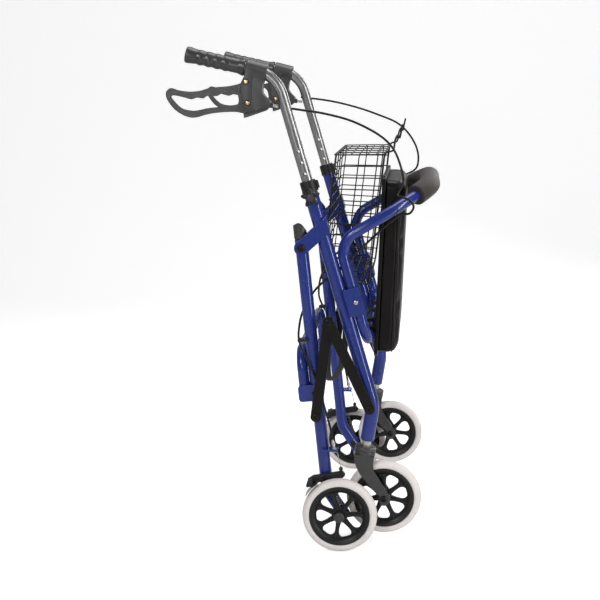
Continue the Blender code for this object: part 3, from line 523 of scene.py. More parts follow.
def main_frame(side, sign):
    """The main tube, with a pivot ear that is a strap from the tube's front edge round the pivot."""
    y = sign * FRAME_Y
    path = rounded_path(flat(y, MAIN_TOP, MAIN_BEND, STEM_END + STEM_UP * 0.4 * MM), [70 * MM])
    reach = MAIN_FRONT * (MAIN_R + 1.6 * MM)
    strap = arc(FOLD_PIVOT, 14.5 * MM, 128, 308, 18) + [main_at(643) + reach, main_at(675) + reach]
    ear = slab("ear", strap, y, 15.9 * MM, BLUE)
    room = box(lambda z, front: main_at(z) + MAIN_FRONT * front, 760, 560, -120 * MM, MAIN_R)
    carve(ear, room, y, 13.1 * MM)
    bevel(ear, 0.9 * MM, 3, 50)
    tube = merge("main_tube_%s_with_ears" % side, [bar("tube", path, MAIN_R, BLUE), bake(ear)])
    place(tube, "front_frame", "main_tube_" + side)
    cap = [(0, -1), (12.6, -1), (13, -0.5), (13, 0.4), (0, 0.4)]
    place(lathe("stem_ferrule_" + side, cap, at_y(STEM_END, y), STEM_UP, BLACK), "front_frame")


def height_collar(side, sign):
    """A moulded sleeve on the main tube's mouth, with a stop rim and a short seam on its front."""
    y = sign * FRAME_Y
    bore, seat_r, skirt, top, low = (BAR_R + FIT) / MM, (MAIN_R + FIT) / MM, 16.2, 11.0, -12.0
    profile = [(bore, top), (14.6, top), (15.9, top - 1.0), (skirt, top - 3.0), (skirt, low + 2.4),
               (skirt + 0.9, low + 1.6), (skirt + 0.9, low + 0.4), (skirt, low), (seat_r, low),
               (seat_r, -0.4), (bore, -0.4), (bore, top)]
    collar = lathe("height_collar_%s_sleeve" % side, profile, at_y(MAIN_TOP, y), MAIN_UP, BLACK)
    place(collar, "front_frame", "height_collar_" + side)
    lip = box(lambda front, up: MAIN_TOP + MAIN_FRONT * front * MM + MAIN_UP * up * MM, 14, 20.5, -9, 8)
    seam = slab("collar_lip_" + side, rounded_outline(lip, [0, 3 * MM, 3 * MM, 0]), y, 3 * MM, BLACK, 1 * MM)
    place(bake(seam), "front_frame")


def height_knob(side, sign):
    """A five-lobed hand knob, domed on its face, on a short threaded boss."""
    out = ACROSS * sign
    centre = at_y(KNOB, sign * FRAME_Y)
    body = "height_knob_" + side
    section = [(0.0, 34.6), (0.35, 34.4), (0.62, 33.8), (0.80, 32.4), (0.93, 30.2), (1.0, 27.6), (0.97, 25.0),
               (0.88, 23.0), (0.7, 22.0)]

    def lobed(share):
        depth = 5.2 * min(1.0, share * 1.1)
        return lambda angle: (14.6 + depth * cos(5 * (angle - radians(100)))) * share * MM

    bm = bmesh.new()
    rings = []
    for share, along in section:
        radius = lobed(share) if share else 0
        rings.append(circle(bm, centre + out * along * MM, Vector((1, 0, 0)), Vector((0, 0, 1)), radius, 100))
    skin(bm, rings)
    bm.faces.new(rings[-1])
    star = to_object("star", bm, BLACK, 50)
    boss = [(0, 22.4), (8.6, 22.4), (8.6, 18.4), (5.6, 17.4), (5.6, 14.7), (0, 14.7)]
    place(merge(body + "_star", [star, lathe("boss", boss, centre, out, BLACK)]), body, body)
    ring = [(6.6, 34.2), (6.6, 34.9), (5.8, 35.2), (5.4, 34.6), (0, 34.9)]
    place(lathe(body + "_ring", ring, centre, out, CHARCOAL, 32), body)


def backrest_bracket(side, sign):
    """A channel that holds the backrest tube to the main tube, with a bolt through its cheeks."""
    y = sign * FRAME_Y

    def corner(front, down):
        return main_at(503) + MAIN_FRONT * front * MM - MAIN_UP * down * MM

    outer = rounded_outline(box(corner, 6.5, 39.8, -28.5, 28.5), [5 * MM, 4 * MM, 4 * MM, 5 * MM])
    bracket = slab("backrest_bracket_%s_channel" % side, outer, y, 17 * MM, BLUE)
    carve(bracket, box(corner, -20, 37.5, -60, 60), y, MAIN_R + 0.4 * MM)
    bevel(bracket, 0.9 * MM, 3, 50)
    place(bake(bracket), "front_frame", "backrest_bracket_" + side)
    for end in (1, -1):
        name = "bracket_bolt_%s_%d" % (side, (end + 1) // 2)
        cheek = at_y(corner(26.5, 1.5), y + sign * end * 17 * MM)
        place(bolt_head(name, cheek, ACROSS * sign * end, 4.4, 2.6, ZINC), "front_frame")


def backrest():
    run = [main_at(506) + MAIN_FRONT * TUBE_GAP, spot(-6.8, 628), spot(172, 733)]
    corners = flat(-FRAME_Y, *run) + flat(FRAME_Y, *reversed(run))
    path = rounded_path(corners, [50 * MM, 150 * MM, 150 * MM, 50 * MM], 28)
    place(bar("backrest_bow", path, BAR_R, BLUE), "front_frame", "backrest_tube")

    right_end, left_end = spot(140, 0).x, spot(118, 0).x
    inside = [point for point in path if point.x > (right_end if point.y < 0 else left_end)]
    dense = [inside[0]]
    for before, after in zip(inside, inside[1:]):
        pieces = max(1, int((after - before).length / (12 * MM)))
        dense += [before.lerp(after, k / pieces) for k in range(1, pieces + 1)]
    outer_r, inner_r, soft, lap = 21 * MM, BAR_R + FIT, 2 * MM, 5 * MM
    last = len(dense) - 1
    turns = [pi / 2 * step / 4 for step in range(5)]
    spine = [(0, inner_r, lap), (0, inner_r, 0)]
    spine += [(0, outer_r - soft + soft * sin(turn), soft - soft * cos(turn)) for turn in turns]
    spine += [(index, outer_r, 0) for index in range(1, last)]
    spine += [(last, outer_r - soft + soft * cos(turn), soft * sin(turn) - soft) for turn in turns]
    spine += [(last, inner_r, 0), (last, inner_r, -lap)]
    bm = bmesh.new()
    frames = ring_frames(dense)
    rings = []
    for index, radius, shift in spine:
        tangent, across, up = frames[index]
        rings.append(circle(bm, dense[index] + tangent * shift, across, up, radius, 40))
    skin(bm, rings)
    place(to_object("backrest_foam_sleeve", bm, FOAM, 60), "front_frame", "backrest_foam")


def front_crossbar():
    place(bow("front_crossbar_bow", main_at(500) + MAIN_FRONT * TUBE_GAP, SEAT_HINGE), "front_frame",
          "front_crossbar")


# ---- rear frame ----
def rear_leg(side, sign):
    y = sign * FRAME_Y
    end = REAR_HUB + (REAR_HUB - LEG_BEND).normalized() * 17 * MM
    top = FOLD_PIVOT - LEG_DOWN * 18 * MM
    tube = bar("leg", rounded_path(flat(y, top, LEG_BEND, end), [45 * MM]), LEG_R, BLUE)
    tab = box(lambda x, z: leg_at(206) + Vector((x * MM, 0, z * MM)), 0, 31, -3, 1)
    shelf = bake(plate("tab", tab, y - sign * 4 * MM, y + sign * 24 * MM, BLUE, 0.8 * MM))
    place(merge("rear_leg_%s_tube" % side, [tube, shelf]), "rear_frame", "rear_leg_" + side)
    foot = [(0, -1.6), (11, -1.6), (12.4, -0.4), (12.4, 0.5), (0, 0.5)]
    place(lathe("leg_end_cap_" + side, foot, at_y(end, y), LEG_BEND - REAR_HUB, CHARCOAL), "rear_frame")


def leg_plug(side, sign):
    """The leg's moulded cap: a saddle that the main tube lies in when the walker is fully open."""
    y = sign * FRAME_Y
    base = FOLD_PIVOT - LEG_DOWN * 18.3 * MM
    plug = bar("leg_plug_%s_cap" % side, flat(y, base, base - LEG_DOWN * 34 * MM), 13.1 * MM, CHARCOAL)
    slant = [base - LEG_BACK * front * MM - LEG_DOWN * up * MM for front, up in
             ((-30, 34), (-7.5, 31.5), (7, 25), (12, 17), (30, 8), (30, 60), (-30, 60))]
    carve(plug, slant, y, 30 * MM)
    opened = [FOLD_PIVOT + OPEN_TURN @ (point - FOLD_PIVOT) for point in (MAIN_BEND, MAIN_TOP)]
    boolean(plug, bar("opened_tube", flat(y, *opened), MAIN_R + 0.6 * MM, CHARCOAL))
    bevel(plug, 1.2 * MM, 4, 30)
    place(bake(plug, 50), "rear_frame", "leg_plug_" + side)


def rear_crossbar():
    """The bow between the legs, each end held to its leg by a bolted sleeve."""
    offset = LEG_R + BAR_R + FIT
    pieces = [bow("bow", leg_at(306) + LEG_BACK * offset, leg_at(405) + LEG_BACK * offset)]

    def corner(back, down):
        return leg_at(323) + LEG_BACK * back + LEG_DOWN * down * MM

    for side, sign in SIDES:
        y = sign * FRAME_Y
        outer = box(corner, -1 * MM, offset + BAR_R + 1.5 * MM, -17, 17)
        sleeve = slab("sleeve", rounded_outline(outer, [0, 7 * MM, 7 * MM, 0]), y, 15.4 * MM, BLUE)
        carve(sleeve, box(corner, -9 * MM, LEG_R + 3 * MM, -30, 30), y, 13 * MM)
        bevel(sleeve, 1.2 * MM, 3, 40)
        pieces.append(bake(sleeve))
        for end in (1, -1):
            centre = at_y(corner(6 * MM, 0), y + end * 15.4 * MM)
            place(bolt_head("sleeve_bolt_%s_%d" % (side, end), centre, ACROSS * end, 3.6, 2), "rear_frame")
    place(merge("rear_crossbar_bow", pieces), "rear_frame", "rear_crossbar")


# ---- pivots and brace links ----
def pivots(side, sign):
    y = sign * FRAME_Y
    shank = pin("shank", FOLD_PIVOT, y - 20 * MM, y + 20 * MM, 4 * MM)
    head = bolt_head("head", at_y(FOLD_PIVOT, y + sign * 16.3 * MM), ACROSS * sign, 8, 5.6)
    nut = lathe("nut", [(0, 0), (7.5, 0), (7.5, 4), (6.2, 5.6), (0, 5.6)],
                at_y(FOLD_PIVOT, y - sign * 16.3 * MM), ACROSS * -sign, BLACK_METAL, 6, 20)
    place(merge("fold_bolt_" + side, [shank, head, nut]), FOLD, "pivot_bolt_" + side)


def link_outline(start, end, end_r):
    along = degrees(atan2(end.z - start.z, end.x - start.x))
    return arc(end, end_r, along - 80, along + 80, 16) + arc(start, end_r, along + 100, along + 260, 16)


def brace_links(side, sign):
    """The two links of one side with the bolt of each, and the rivet at their apex."""
    out = ACROSS * sign
    for kind, start, inner, tube_r in (("rear", LINK_A, 265.6 * MM, LEG_R),
                                       ("front", LINK_B, 270.2 * MM, MAIN_R)):
        outer = inner + 4 * MM
        link_name, bolt_name = "%s_link_%s" % (kind, side), "%s_link_bolt_%s" % (kind, side)
        outline = link_outline(start, LINK_APEX, 11 * MM)
        link = plate(link_name + "_strap", outline, sign * inner, sign * outer, BLACK_METAL, 1.1 * MM)
        place(bake(link), kind + "_brace_links", link_name)
        shoulder = pin("shoulder", start, sign * (FRAME_Y + tube_r - 1 * MM), sign * (inner - FIT), 7 * MM,
                       chamfer=0.3 * MM)
        head = bolt_head("head", at_y(start, sign * (outer + 0.2 * MM)), out, 7, 3.6)
        place(merge(bolt_name + "_head", [shoulder, head]), kind + "_frame", bolt_name)
    rivet = bolt_head("apex_rivet_%s_head" % side, at_y(LINK_APEX, sign * (outer + 0.2 * MM)), out, 7, 3.4)
    place(rivet, "front_brace_links", "apex_rivet_" + side)


def fold_strap():
    """Webbing slung between the link joints; seen from above it makes a slight S."""
    half_span, sag, half_width, thick, sway = 263 * MM, 168 * MM, 7 * MM, 1.5 * MM, 22 * MM
    edge = ((-1, -0.5), (-0.86, -1), (0.86, -1), (1, -0.5), (1, 0.5), (0.86, 1), (-0.86, 1), (-1, 0.5))
    steps = 72
    bm = bmesh.new()
    rings = []
    for step in range(steps + 1):
        s = -1 + 2 * step / steps
        centre = LINK_APEX + Vector((sway * s * (1 - s * s), half_span * s, -sag * (1 - abs(s) ** 3)))
        normal = Vector((0, -3 * sag * s * abs(s) / half_span, 1)).normalized() * thick / 2
        rings.append([bm.verts.new(centre + normal * up + Vector((half_width * x, 0, 0))) for x, up in edge])
    skin(bm, rings)
    place(to_object("fold_strap_webbing", bm, WEBBING, 50), "fold_strap", "fold_strap")


# ---- seat ----
SEAT_TOP, SEAT_BOTTOM, SEAT_HALF, SEAT_CORNER = 327 * MM, -45 * MM, 183 * MM, 18 * MM
SEAT_MIDDLE, SEAT_REACH = (SEAT_TOP + SEAT_BOTTOM) / 2, (SEAT_TOP - SEAT_BOTTOM) / 2
BOARD_BACK, BOARD_THICK, PAD_THICK = -(BAR_R + FIT), 8 * MM, 37.5 * MM
PAD_BACK = -(BAR_R + FIT + BOARD_THICK + FIT)
SEAM_BACK = PAD_BACK - PAD_THICK + 10 * MM


def seat_rim(margin, steps):
    """The seat's rounded outline, as (up, y) points."""
    half = SEAT_HALF - margin
    corners = box(lambda up, y: Vector((up, y, 0)), SEAT_BOTTOM + margin, SEAT_TOP - margin, -half, half)
    return rounded_outline(corners, SEAT_CORNER, steps)


def seat_slab(name, back_from, back_to, margin, rounding, segments):
    bm = bmesh.new()
    rim = [seat_at(p.x, back_from, p.y) for p in seat_rim(margin, 8)]
    thicken(bm, rim, SEAT_BACK * (back_to - back_from))
    obj = to_object(name, bm, VINYL)
    bevel(obj, rounding, segments, 50)
    return bake(obj)


def swell(obj, cap, pressure=4.0, frames=20):
    """Inflates a cushion as cloth; no point moves further than cap."""
    remesh = obj.modifiers.new("remesh", "REMESH")
    remesh.mode = "VOXEL"
    remesh.voxel_size = 5 * MM
    bake(obj)
    start = [vertex.co.copy() for vertex in obj.data.vertices]
    cloth = obj.modifiers.new("cloth", "CLOTH")
    cloth.settings.use_pressure = True
    cloth.settings.uniform_pressure_force = pressure
    cloth.settings.effector_weights.gravity = 0
    cloth.settings.tension_stiffness = 30
    cloth.settings.compression_stiffness = 30
    cloth.settings.bending_stiffness = 4
    cloth.point_cache.frame_start, cloth.point_cache.frame_end = 1, frames
    for step in range(1, frames + 1):
        bpy.context.scene.frame_set(step)
    bake(obj)
    bpy.context.scene.frame_set(1)
    for vertex, origin in zip(obj.data.vertices, start):
        moved = vertex.co - origin
        if moved.length > cap:
            vertex.co = origin + moved.normalized() * cap


def tailor(pad):
    """Keeps the cushion flat on its board and within its sides, and pinches it along the piping."""
    middle = seat_at(SEAT_MIDDLE, 0)
    spare = 1.5 * MM
    for vertex in pad.data.vertices:
        offset = vertex.co - middle
        back, up, y = offset.dot(SEAT_BACK), offset.dot(SEAT_UP), offset.y
        if back > PAD_BACK:
            vertex.co -= SEAT_BACK * (back - PAD_BACK)
            back = PAD_BACK
        if max(abs(up) / SEAT_REACH, abs(y) / SEAT_HALF) > 0.8:
            pinch = 2.4 * MM * exp(-((back - SEAM_BACK) / (3.2 * MM)) ** 2)
            vertex.co -= (SEAT_UP * up + Vector((0, y, 0))).normalized() * pinch
        if abs(up) > SEAT_REACH + spare:
            vertex.co -= SEAT_UP * copysign(abs(up) - SEAT_REACH - spare, up)
        if abs(y) > SEAT_HALF + spare:
            vertex.co.y = copysign(SEAT_HALF + spare, y)


def piping(pad):
    """A cord laid round the cushion on its seam."""
    tree = BVHTree.FromObject(pad, bpy.context.evaluated_depsgraph_get())
    centre = seat_at(SEAT_MIDDLE, SEAM_BACK)

    def on_side(point, lift):
        outward = point - centre
        outward -= SEAT_BACK * outward.dot(SEAT_BACK)
        outward.normalize()
        hit = tree.ray_cast(point + outward * 60 * MM, -outward)[0]
        return hit + outward * lift if hit else point

    path = [on_side(seat_at(p.x, SEAM_BACK, p.y), 0.5 * MM) for p in seat_rim(0, 10)]
    dense = []
    for point, after in zip(path, path[1:] + path[:1]):
        pieces = max(1, int((after - point).length / (8 * MM)))
        dense += [on_side(point.lerp(after, k / pieces), 0.4 * MM) for k in range(pieces)]
    place(bar("seat_piping", dense, 1.7 * MM, VINYL, 12, closed=True), "seat")


def seat():
    board = seat_slab("seat_base_board", BOARD_BACK, BOARD_BACK - BOARD_THICK, 0.0, 1.6 * MM, 3)
    place(board, "seat", "seat_board")
    pad = seat_slab("seat_cushion", PAD_BACK + 8 * MM, PAD_BACK - PAD_THICK + 3 * MM, 3 * MM, 9 * MM, 4)
    swell(pad, 7 * MM)
    tailor(pad)
    fine = pad.modifiers.new("fine", "SUBSURF")
    fine.levels = fine.render_levels = 1
    place(bake(pad, 80), "seat", "seat_pad")
    piping(pad)
    ring = [(11.4, -11), (14.6, -11), (15.4, -10), (15.4, 10), (14.6, 11), (11.4, 11), (11.4, -11)]
    for side, sign in SIDES:
        for offset in (60, 150):
            y = sign * offset * MM
            clip = lathe("seat_hinge_clip_%s_%d" % (side, offset), ring, at_y(SEAT_HINGE, y), ACROSS, BLACK)
            carve(clip, box(seat_at, -30 * MM, 30 * MM, BOARD_BACK, -40 * MM), y, 20 * MM)
            place(bake(clip), "seat")


# ---- basket ----
BASKET_LEAN = radians(6.5)
BASKET_FOOT = spot(-49, 546)                 # lower edge of the basket's floor side
BASKET_UP = Vector((sin(BASKET_LEAN), 0, cos(BASKET_LEAN)))
BASKET_OUT = Vector((cos(BASKET_LEAN), 0, -sin(BASKET_LEAN)))
BASKET_LONG, BASKET_DEEP, BASKET_HALF = 252 * MM, 100 * MM, 193 * MM
BASKET_FLARE = 13 * MM


def basket_at(up, out, y):
    """Up from the floor's lower edge, out towards the open rim, where the basket is longer."""
    flare = BASKET_FLARE * out / BASKET_DEEP * up / BASKET_LONG
    return at_y(BASKET_FOOT + BASKET_UP * (up + flare) + BASKET_OUT * out, y)


def basket():
    """Wire hoops across and along, wires round the sides, a thicker rim and two hooks."""
    bm = bmesh.new()
    thin, rim, turn, hoops = 1.25 * MM, 2.1 * MM, 9 * MM, 11
    deep, half, top = BASKET_DEEP, BASKET_HALF, BASKET_LONG

    def hoop(corners):
        add_bar(bm, rounded_path(corners, [turn, turn], 6), thin, 8)

    for k in range(hoops + 1):
        up = top * k / hoops
        hoop([basket_at(up, out, y) for out, y in ((deep, -half), (0, -half), (0, half), (deep, half))])
    for share in (-0.6, -0.2, 0.2, 0.6):
        hoop([basket_at(up, out, share * half) for up, out in ((0, deep), (0, 0), (top, 0), (top, deep))])
    for level, radius in ((1.0, rim), (0.87, thin), (0.5, thin), (0.03, thin)):
        loop = box(lambda up, y: basket_at(up, deep * level, y), 0, top, -half, half)
        add_bar(bm, rounded_outline(loop, turn, 6), radius, 10, closed=True)
    for up in (0, top):
        for sixth in (1, 2, 4, 5):
            run = [basket_at(up, deep * sixth / 6, end * (half - turn * 0.4)) for end in (-1, 1)]
            add_bar(bm, run, thin, 8)
    place(to_object("basket_wires", bm, WIRE, 60), "basket", "basket")
    for side, sign in SIDES:
        y = sign * (half - 4 * MM)
        hook = spots([(97, 806), (101, 826), (106, 836), (110, 831), (113, 845), (116, 858)])
        route = [basket_at(top - 40 * MM, deep, y), basket_at(top, deep + 1 * MM, y)] + flat(y, *hook)
        place(bar("basket_hook_" + side, spline(route, 6), 2.0 * MM, WIRE, 12), "basket")


# ---- handles ----
GRIP_START = spot(-191.7, 968.4)
GRIP_BACK = Vector((-1, 0, 0.2202)).normalized()
GRIP_UP = Vector((0.2202, 0, 1)).normalized()
GRIP_LENGTH = 119.5 * MM
HANDLE_BEND = crossing(KNOB, MAIN_UP, GRIP_START, GRIP_BACK)


def handle_tube(side, sign):
    """A bent tube, open at its lower end, with the row of height holes bored through."""
    y = sign * FRAME_Y
    start = MAIN_TOP - MAIN_UP * 127 * MM
    end = GRIP_START + GRIP_BACK * 112 * MM
    path = rounded_path(flat(y, start, HANDLE_BEND, end), [70 * MM], 18)
    tube = bar("handle_tube_%s_bent" % side, path, BAR_R, STEEL, 40)
    hollow = flat(y, start - MAIN_UP * 2 * MM, MAIN_TOP + MAIN_UP * 150 * MM)
    boolean(tube, bar("hollow", hollow, BAR_R - 1.4 * MM, STEEL, 32, 0))
    for index in range(7):
        middle = MAIN_TOP + MAIN_UP * (25 + 23 * (index - 4)) * MM
        boolean(tube, pin("hole", middle, y - 20 * MM, y + 20 * MM, 3.1 * MM, STEEL, 20, 0))
    place(bake(tube, 30), "handle_" + side, "handle_tube_" + side)


def grip_radius(along, angle):
    """Radius of the grip at a distance from its front end; angle 0 is its top."""
    mm = along / MM
    radius = 14.3
    if mm < 12:
        radius = 17.0 - 2.4 * max(0.0, mm / 12) ** 1.5
    if mm > 98:
        radius = 14.4 + 1.7 * min(1.0, (mm - 98) / 14)
    if 30 < mm < 98:
        under = 0.5 - 0.5 * cos(angle)
        wave = 0.5 - 0.5 * cos(2 * pi * (mm - 30) / 17)
        radius += (1.1 + 0.5 * under) * wave - 0.4
    return radius * MM


def grip(side, sign):
    start = at_y(GRIP_START, sign * FRAME_Y)
    steps, soft = 110, 3 * MM
    bm = bmesh.new()

    def ring(along, radius):
        return circle(bm, start + GRIP_BACK * along, GRIP_UP, ACROSS, radius, 48)

    rings = [ring(0.0, BAR_R + FIT)]
    for step in range(steps + 1):
        along = 0.8 * MM + (GRIP_LENGTH - soft - 0.8 * MM) * step / steps
        rings.append(ring(along, lambda angle: grip_radius(along, angle)))
    for step in range(1, 7):
        turn = pi / 2 * step / 6
        rings.append(ring(GRIP_LENGTH - soft + soft * sin(turn), 13.1 * MM + soft * cos(turn)))
    skin(bm, rings)
    place(to_object("grip_%s_ribbed" % side, bm, GRIP, 50), "handle_" + side, "grip_" + side)


def moulding(name, pairs, radii_mm, y, half, rounding, segments):
    """A charcoal moulding from a side-view outline in datum millimetres."""
    outline = rounded_outline(spots(pairs), [r * MM for r in radii_mm], 5)
    made = slab(name, outline, y, half, CHARCOAL)
    bevel(made, rounding, segments, 50)
    return bake(made)


def housing(side, sign):
    """The brake housing: a sleeve round the tube, a curved body below it and a stepped rear half."""
    y = sign * FRAME_Y
    body = "handle_" + side
    front = [(-178, 966), (-152, 962), (-148.5, 953), (-156, 938), (-157.5, 921), (-150, 911),
             (-141.5, 903.5), (-142.5, 893), (-190, 879), (-190, 950)]
    rear = [(-189, 970), (-172, 966), (-175.5, 950), (-178, 930), (-177, 905), (-172, 886), (-194, 880.5),
            (-198.5, 912), (-200, 937), (-192, 952)]
    foot = [(-195, 886), (-144, 900), (-144, 891.5), (-150, 885.5), (-194, 870.5)]
    shell = moulding("brake_housing_%s_shell" % side, front, (2, 4, 10, 22, 14, 14, 5, 4, 3, 4), y, 14.6 * MM,
                     4.0 * MM, 5)
    step = moulding("step", rear, (3, 3, 20, 30, 30, 2, 2, 30, 5, 8), y, 17.4 * MM, 1.6 * MM, 3)
    base = slab("base", rounded_outline(spots(foot), 1.5 * MM, 3), y, 10 * MM, CHARCOAL)
    bevel(base, 3.4 * MM, 4, 50)
    ends = flat(y, GRIP_START - GRIP_BACK * 1.5 * MM, spot(-149.5, 957.9))
    sleeve = bar("sleeve", ends, 17.2 * MM, CHARCOAL, 48, 1.4 * MM)
    for part in (step, bake(base), sleeve):
        boolean(shell, part, "UNION")
    carve(shell, box(spot, -216, -168, 866, 948), y, 7.8 * MM)
    bore = rounded_path(flat(y, MAIN_TOP, HANDLE_BEND, GRIP_START + GRIP_BACK * 60 * MM), [70 * MM], 18)
    boolean(shell, bar("bore", bore, BAR_R + FIT, CHARCOAL, 40, 0))
    place(bake(shell, 35), body, "brake_housing_" + side)
    screw_seat = [(6.0, -0.6), (6.0, 0.5), (5.2, 0.9), (4.5, 0.6), (0, 0.6)]
    for end in (1, -1):
        out = ACROSS * end
        for index, (x, z) in enumerate(((-188.5, 941.5), (-185.3, 900.8))):
            name = "%s_%d_%d" % (side, index, (end + 1) // 2)
            face = spot(x, z, y + end * 17.4 * MM)
            place(lathe("screw_seat_" + name, screw_seat, face, out, BLACK, 32), body)
            place(bolt_head("housing_screw_" + name, face + out * 0.5 * MM, out, 4.2, 2.3, BRASS), body)
    boss, ferrule = spots([(-147, 896.4), (-137, 894.8)]), spots([(-138, 894.9), (-126, 893.3)])
    place(bar("cable_boss_" + side, flat(y, *boss), 5.2 * MM, CHARCOAL, 28), body)
    place(bar("cable_ferrule_" + side, flat(y, *ferrule), 2.9 * MM, ZINC, 24), body)


def brake_lever(side, sign):
    """A loop lever of round section, with finger scallops on the underside of its upper beam."""
    y = sign * FRAME_Y
    upper = [(-200, 938.5), (-223, 933), (-246, 931), (-263, 929), (-280, 924), (-298, 922), (-312, 922.7),
             (-326, 925), (-338, 928.8), (-344.5, 926), (-348.8, 919)]
    lower = [(-346, 906), (-332, 887.5), (-315, 876.4), (-300, 871.5), (-286, 872.3), (-270, 877),
             (-246, 881), (-212, 882.8), (-190, 880), (-180, 892), (-177, 925), (-179, 944), (-188, 947.5)]
    window = [(-339.5, 912.5), (-331, 914.5), (-312, 910.5), (-304, 908.2), (-297, 907.2), (-289, 910),
              (-282, 909.8), (-275.5, 908.8), (-269, 913), (-262, 914.6), (-254, 913.2), (-247, 914),
              (-237, 920), (-228, 925), (-216, 926), (-208, 920), (-205, 912), (-204.5, 902), (-208.5, 897),
              (-223, 894.3), (-246, 892), (-266, 890), (-282, 886.5), (-297, 884.8), (-315, 888),
              (-326, 895.3), (-335, 905)]
    outer = spline(spots(upper + lower), 4, closed=True)
    lever = slab("brake_lever_%s_loop" % side, outer, y, 7 * MM, CHARCOAL)
    carve(lever, spline(spots(window), 4, closed=True), y, 20 * MM)
    bake(lever)
    bevel(lever, 2.8 * MM, 4, 60)
    place(bake(lever, 50), "brake_lever_" + side, "brake_lever_" + side)


# ---- wheels and casters ----
def tyre_profile(half):
    """A solid tyre's section, in mm: rounded shoulders, a slightly crowned tread and a seat on the rim."""
    inner, top = 61.4, WHEEL_R / MM
    points = [(inner, half - 2.2), (inner, -half + 2.2), (inner + 1.0, -half + 0.6), (inner + 3.0, -half)]
    for step in range(1, 14):
        angle = pi * (-0.5 + step / 14)
        crown = copysign(abs(sin(angle)) ** 1.25, sin(angle))
        points.append((inner + 4.5 + (top - inner - 4.5) * cos(angle) ** 0.62, half * crown))
    return points + [(inner + 3.0, half), (inner + 1.0, half - 0.6), (inner, half - 2.2)]


def mirrored(half):
    """Half an outline, as pairs, and its mirror image."""
    return [(a, b) for a, b in half] + [(a, -b) for a, b in reversed(half)]


def wheel(kind, side, centre, hub_half, phase_deg, spokes=7):
    """A spoked rim with a solid tyre: a blade and a rib for each spoke."""
    body = "%s_wheel_%s" % (kind, side)
    place(lathe("%s_tyre_%s_solid" % (kind, side), tyre_profile(13), centre, ACROSS, TYRE, 96, 60), body,
          "%s_tyre_%s" % (kind, side))
    hub = hub_half / MM
    band = mirrored([(47.5, -3.4), (49.5, -6.2), (53, -9.6), (57.4, -11.4), (60.2, -12.3), (61.2, -11.6)])
    flange = mirrored([(0, -4.6), (12, -4.6), (14.5, -3.8)])
    core = mirrored([(0, -hub), (9.8, -hub), (11.0, -hub + 1.4), (12.4, -4)])
    parts = [lathe("turned", profile, centre, ACROSS, BLACK, sides, sharp) for profile, sides, sharp in
             ((band + band[:1], 96, 50), (flange, 64, 50), (core, 64, 40))]
    half_web = [(11, 7.0), (15, 5.9), (20, 4.9), (28, 4.2), (36, 4.3), (41, 5.6), (44.2, 8.6), (46, 13),
                (49, 17)]
    web = mirrored(spline([Vector(pair) for pair in half_web], 3))
    rib = mirrored([(10, 1.9), (28, 1.2), (49, 1.7)])
    for index in range(spokes):
        angle = 2 * pi * index / spokes + radians(phase_deg)
        ray, wide = Vector((cos(angle), 0, sin(angle))), Vector((-sin(angle), 0, cos(angle)))
        for outline, half, rounding, segments in ((web, 3.6 * MM, 1.3 * MM, 3), (rib, 7.2 * MM, 0.7 * MM, 2)):
            turned = [centre + ray * a * MM + wide * b * MM for a, b in outline]
            parts.append(bake(slab("blade", turned, centre.y, half, BLACK, rounding, segments), 50))
    place(merge("%s_rim_%s_spoked" % (kind, side), parts), body, "%s_rim_%s" % (kind, side))


def rear_wheel(side, sign):
    wheel("rear", side, at_y(REAR_HUB, sign * REAR_WHEEL_Y), 18.3 * MM, 4)
    shank = pin("shank", REAR_HUB, sign * 231 * MM, sign * 306 * MM, 5 * MM)
    hexagon = [(0, 0), (7.5, 0), (7.5, 4.4), (6.4, 5.4), (0, 5.4)]
    head = lathe("head", hexagon, at_y(REAR_HUB, sign * 234.8 * MM), ACROSS * -sign, BLACK_METAL, 6, 20)
    washer = pin("washer", REAR_HUB, sign * 261 * MM, sign * 266 * MM, 8 * MM, sides=32)
    place(merge("rear_axle_pin_" + side, [shank, head, washer]), "rear_frame", "rear_axle_" + side)
    cap = [(10.2, 0), (10.2, 3.8), (9.6, 5.0), (8.6, 5.6), (7.9, 5.2), (7.6, 4.4), (6, 4.8), (0, 5.2)]
    centre = at_y(REAR_HUB, sign * 303.4 * MM)
    place(lathe("rear_hub_cap_" + side, cap, centre, ACROSS * sign, CHARCOAL, 40, 35), "rear_frame")


